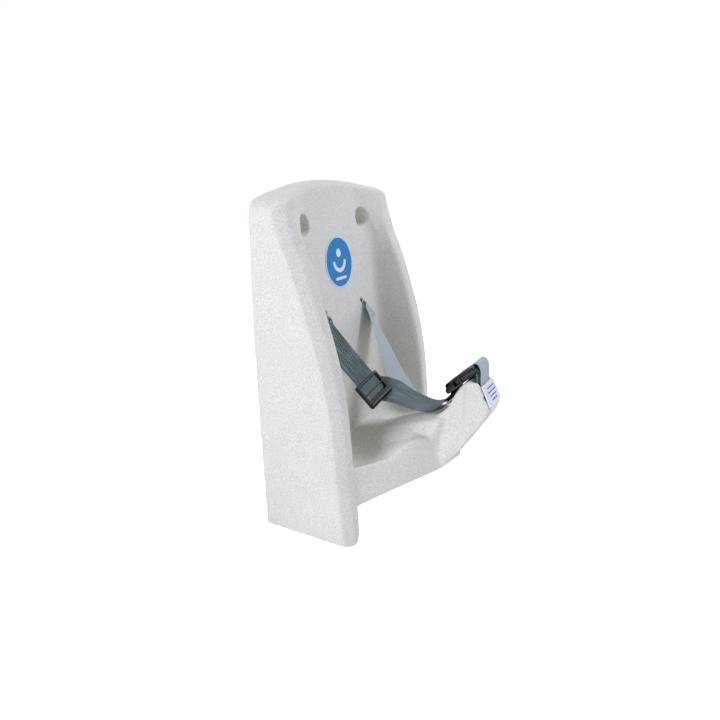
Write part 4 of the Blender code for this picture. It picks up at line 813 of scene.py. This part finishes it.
# Head cover and its label
# A smooth satin white plate closes the front of the head. Its film label carries plain blue bars in
# place of lettering.
COVER_REACH = 0.2832
COVER_HEIGHT = 0.213
COVER_TILT_DEGREES = 26.6
COVER_WIDTH = 0.046
COVER_LENGTH = 0.031
COVER_THICKNESS = 0.0025
COVER_EDGE = 0.0007
LABEL_WIDTH = 0.040
LABEL_LENGTH = 0.025
LABEL_CORNER = 0.0015
FILM = 0.0003
PRINT = 0.0001
BAR_HEIGHT = 0.0019
BAR_GAP = 0.0013
BAR_ROWS = ((0.007, 0.011, 0.005), (0.010, 0.004, 0.008, 0.005), (0.005, 0.009, 0.006), (0.012, 0.006))
BAR_TOP_SHARE = 0.34
COVER_COLOUR = (0.84, 0.85, 0.87)
COVER_ROUGHNESS = 0.35
COVER_GRAIN = 0.0015
COVER_GRAIN_DEPTH = 0.00005
COVER_CLOUD = 0.02
COVER_DARK_SHARE = 0.97
FILM_COLOUR = (0.80, 0.82, 0.88)
FILM_ROUGHNESS = 0.3
FILM_GRAIN = 0.002
FILM_GRAIN_DEPTH = 0.00003
FILM_CLOUD = 0.01
FILM_DARK_SHARE = 0.97
FILM_SPECULAR = 0.2
PRINT_COLOUR = (0.035, 0.05, 0.30)
PRINT_GRAIN = 0.001
PRINT_DARK_SHARE = 0.85
CORNER_STEPS = 3
RING_POINTS = 65
EDGE_SEGMENTS = 3
EDGE_PROFILE = 0.5

COVER_TILT = math.radians(COVER_TILT_DEGREES)
COVER_UP = (0, math.sin(COVER_TILT), math.cos(COVER_TILT))
COVER = frame_of((0, -COVER_REACH, COVER_HEIGHT), (1, 0, 0), COVER_UP)


def rounded_box(width, height, radius, middle=(0, 0)):
    """Outline of a rectangle with rounded corners."""
    points = []
    for corner in range(4):
        start = corner * math.pi / 2
        side_x, side_y = (1, -1, -1, 1)[corner], (1, 1, -1, -1)[corner]
        for step in range(CORNER_STEPS + 1):
            angle = start + step * math.pi / 2 / CORNER_STEPS
            x = middle[0] + side_x * (width / 2 - radius) + radius * math.cos(angle)
            y = middle[1] + side_y * (height / 2 - radius) + radius * math.sin(angle)
            points.append((x, y))
    return points


def ring_part(inner, outer, start_degrees, end_degrees, middle=(0, 0)):
    """Outline of a part of a ring, or of a whole disc where it has no inner radius."""
    angles = np.radians(np.linspace(start_degrees, end_degrees, RING_POINTS))
    if inner == 0:
        return [(middle[0] + outer * math.cos(a), middle[1] + outer * math.sin(a)) for a in angles[:-1]]
    arcs = [(outer, a) for a in angles] + [(inner, a) for a in reversed(angles)]
    return [(middle[0] + radius * math.cos(a), middle[1] + radius * math.sin(a)) for radius, a in arcs]


def plates(name, outlines, low, high, matrix, material, edge=0.0):
    """Flat plates of the given outlines in a frame's x and y, with their front edges bevelled."""
    bm = bmesh.new()
    for outline in outlines:
        bottom = [bm.verts.new((x, y, low)) for x, y in outline]
        top = [bm.verts.new((x, y, high)) for x, y in outline]
        bm.faces.new(reversed(bottom))
        front = bm.faces.new(top)
        for i in range(len(outline)):
            k = (i + 1) % len(outline)
            bm.faces.new((bottom[i], bottom[k], top[k], top[i]))
        if edge:
            bmesh.ops.bevel(
                bm,
                geom=list(front.edges),
                offset=edge,
                segments=EDGE_SEGMENTS,
                profile=EDGE_PROFILE,
                affect="EDGES",
            )
    return linked(name, mesh_from(bm, name, matrix), material)


def printed_finish(name, colour, grain, dark_share):
    """Label film or ink: almost even, with a low sheen."""
    return moulded_finish(
        name, colour, FILM_ROUGHNESS, grain, FILM_CLOUD, dark_share, FILM_GRAIN_DEPTH, FILM_SPECULAR
    )


cover_finish = moulded_finish(
    "cover_plastic",
    COVER_COLOUR,
    COVER_ROUGHNESS,
    COVER_GRAIN,
    COVER_CLOUD,
    COVER_DARK_SHARE,
    COVER_GRAIN_DEPTH,
)
film_finish = printed_finish("white_film", FILM_COLOUR, FILM_GRAIN, FILM_DARK_SHARE)
print_finish = printed_finish("blue_print", PRINT_COLOUR, PRINT_GRAIN, PRINT_DARK_SHARE)
cover_outline = [rounded_box(COVER_WIDTH, COVER_LENGTH, 2 * COVER_EDGE)]
cover = plates("head_cover", cover_outline, -COVER_THICKNESS, 0, COVER, cover_finish, COVER_EDGE)
fitted(cover, "seat", "cover_plastic", "front_cover")
film_outline = [rounded_box(LABEL_WIDTH, LABEL_LENGTH, LABEL_CORNER)]
film = plates("cover_label", film_outline, CLEARANCE / 2, CLEARANCE / 2 + FILM, COVER, film_finish)
fitted(film, "seat", "white_film", "front_label")
bars = []
for row, widths in enumerate(BAR_ROWS):
    start = -(sum(widths) + BAR_GAP * (len(widths) - 1)) / 2
    height = LABEL_LENGTH * BAR_TOP_SHARE * (1 - 2 * row / (len(BAR_ROWS) - 1))
    for width in widths:
        bars.append(rounded_box(width, BAR_HEIGHT, BAR_HEIGHT / 3, (start + width / 2, height)))
        start += width + BAR_GAP
bar_low = CLEARANCE / 2 + FILM
bar_print = plates("cover_label_bars", bars, bar_low, bar_low + PRINT, COVER, print_finish)
fitted(bar_print, "seat", "white_film")

# Round label
# A vinyl disc on the back: a pale rim round a blue field, on which plain white shapes lie, a ball over
# a cradle and a bar.
ROUND_LABEL_HEIGHT = 0.374
ROUND_LABEL_RADIUS = 0.038
BLUE_RADIUS = 0.0355
BALL_RADIUS = 0.0062
BALL_RISE = 0.0135
CRADLE_RADII = (0.0125, 0.0185)
CRADLE_DEGREES = (185, 355)
CRADLE_RISE = 0.0035
BASE_BAR = (0.030, 0.0042)
BASE_BAR_DROP = 0.0235
BLUE = (0.006, 0.23, 0.56)
BLUE_DARK_SHARE = 0.9
RIM_COLOUR = (0.66, 0.72, 0.80)
RIM_DARK_SHARE = 0.96
MOTIF_COLOUR = (0.82, 0.86, 0.88)
MOTIF_DARK_SHARE = 0.95
INK_GRAIN = 0.0015

LABEL = frame_of(panel_place(0, ROUND_LABEL_HEIGHT), (1, 0, 0), PANEL_UP)
rim_finish = printed_finish("label_rim", RIM_COLOUR, FILM_GRAIN, RIM_DARK_SHARE)
blue_finish = printed_finish("label_blue", BLUE, INK_GRAIN, BLUE_DARK_SHARE)
motif_finish = printed_finish("label_motif", MOTIF_COLOUR, INK_GRAIN, MOTIF_DARK_SHARE)
level = CLEARANCE + FILM
rim_outline = [ring_part(0, ROUND_LABEL_RADIUS, 0, 360)]
rim = plates("label_disc", rim_outline, 0, level, LABEL, rim_finish, FILM / 2)
fitted(rim, "seat", "label_film", "round_label")
field = plates("label_field", [ring_part(0, BLUE_RADIUS, 0, 360)], level, level + PRINT, LABEL, blue_finish)
fitted(field, "seat", "label_film")
motif_outlines = [
    ring_part(0, BALL_RADIUS, 0, 360, (0, BALL_RISE)),
    ring_part(*CRADLE_RADII, *CRADLE_DEGREES, (0, CRADLE_RISE)),
    rounded_box(*BASE_BAR, BASE_BAR[1] / 3, (0, -BASE_BAR_DROP)),
]
level += PRINT
motif = plates("label_motif", motif_outlines, level, level + PRINT, LABEL, motif_finish)
fitted(motif, "seat", "label_film")
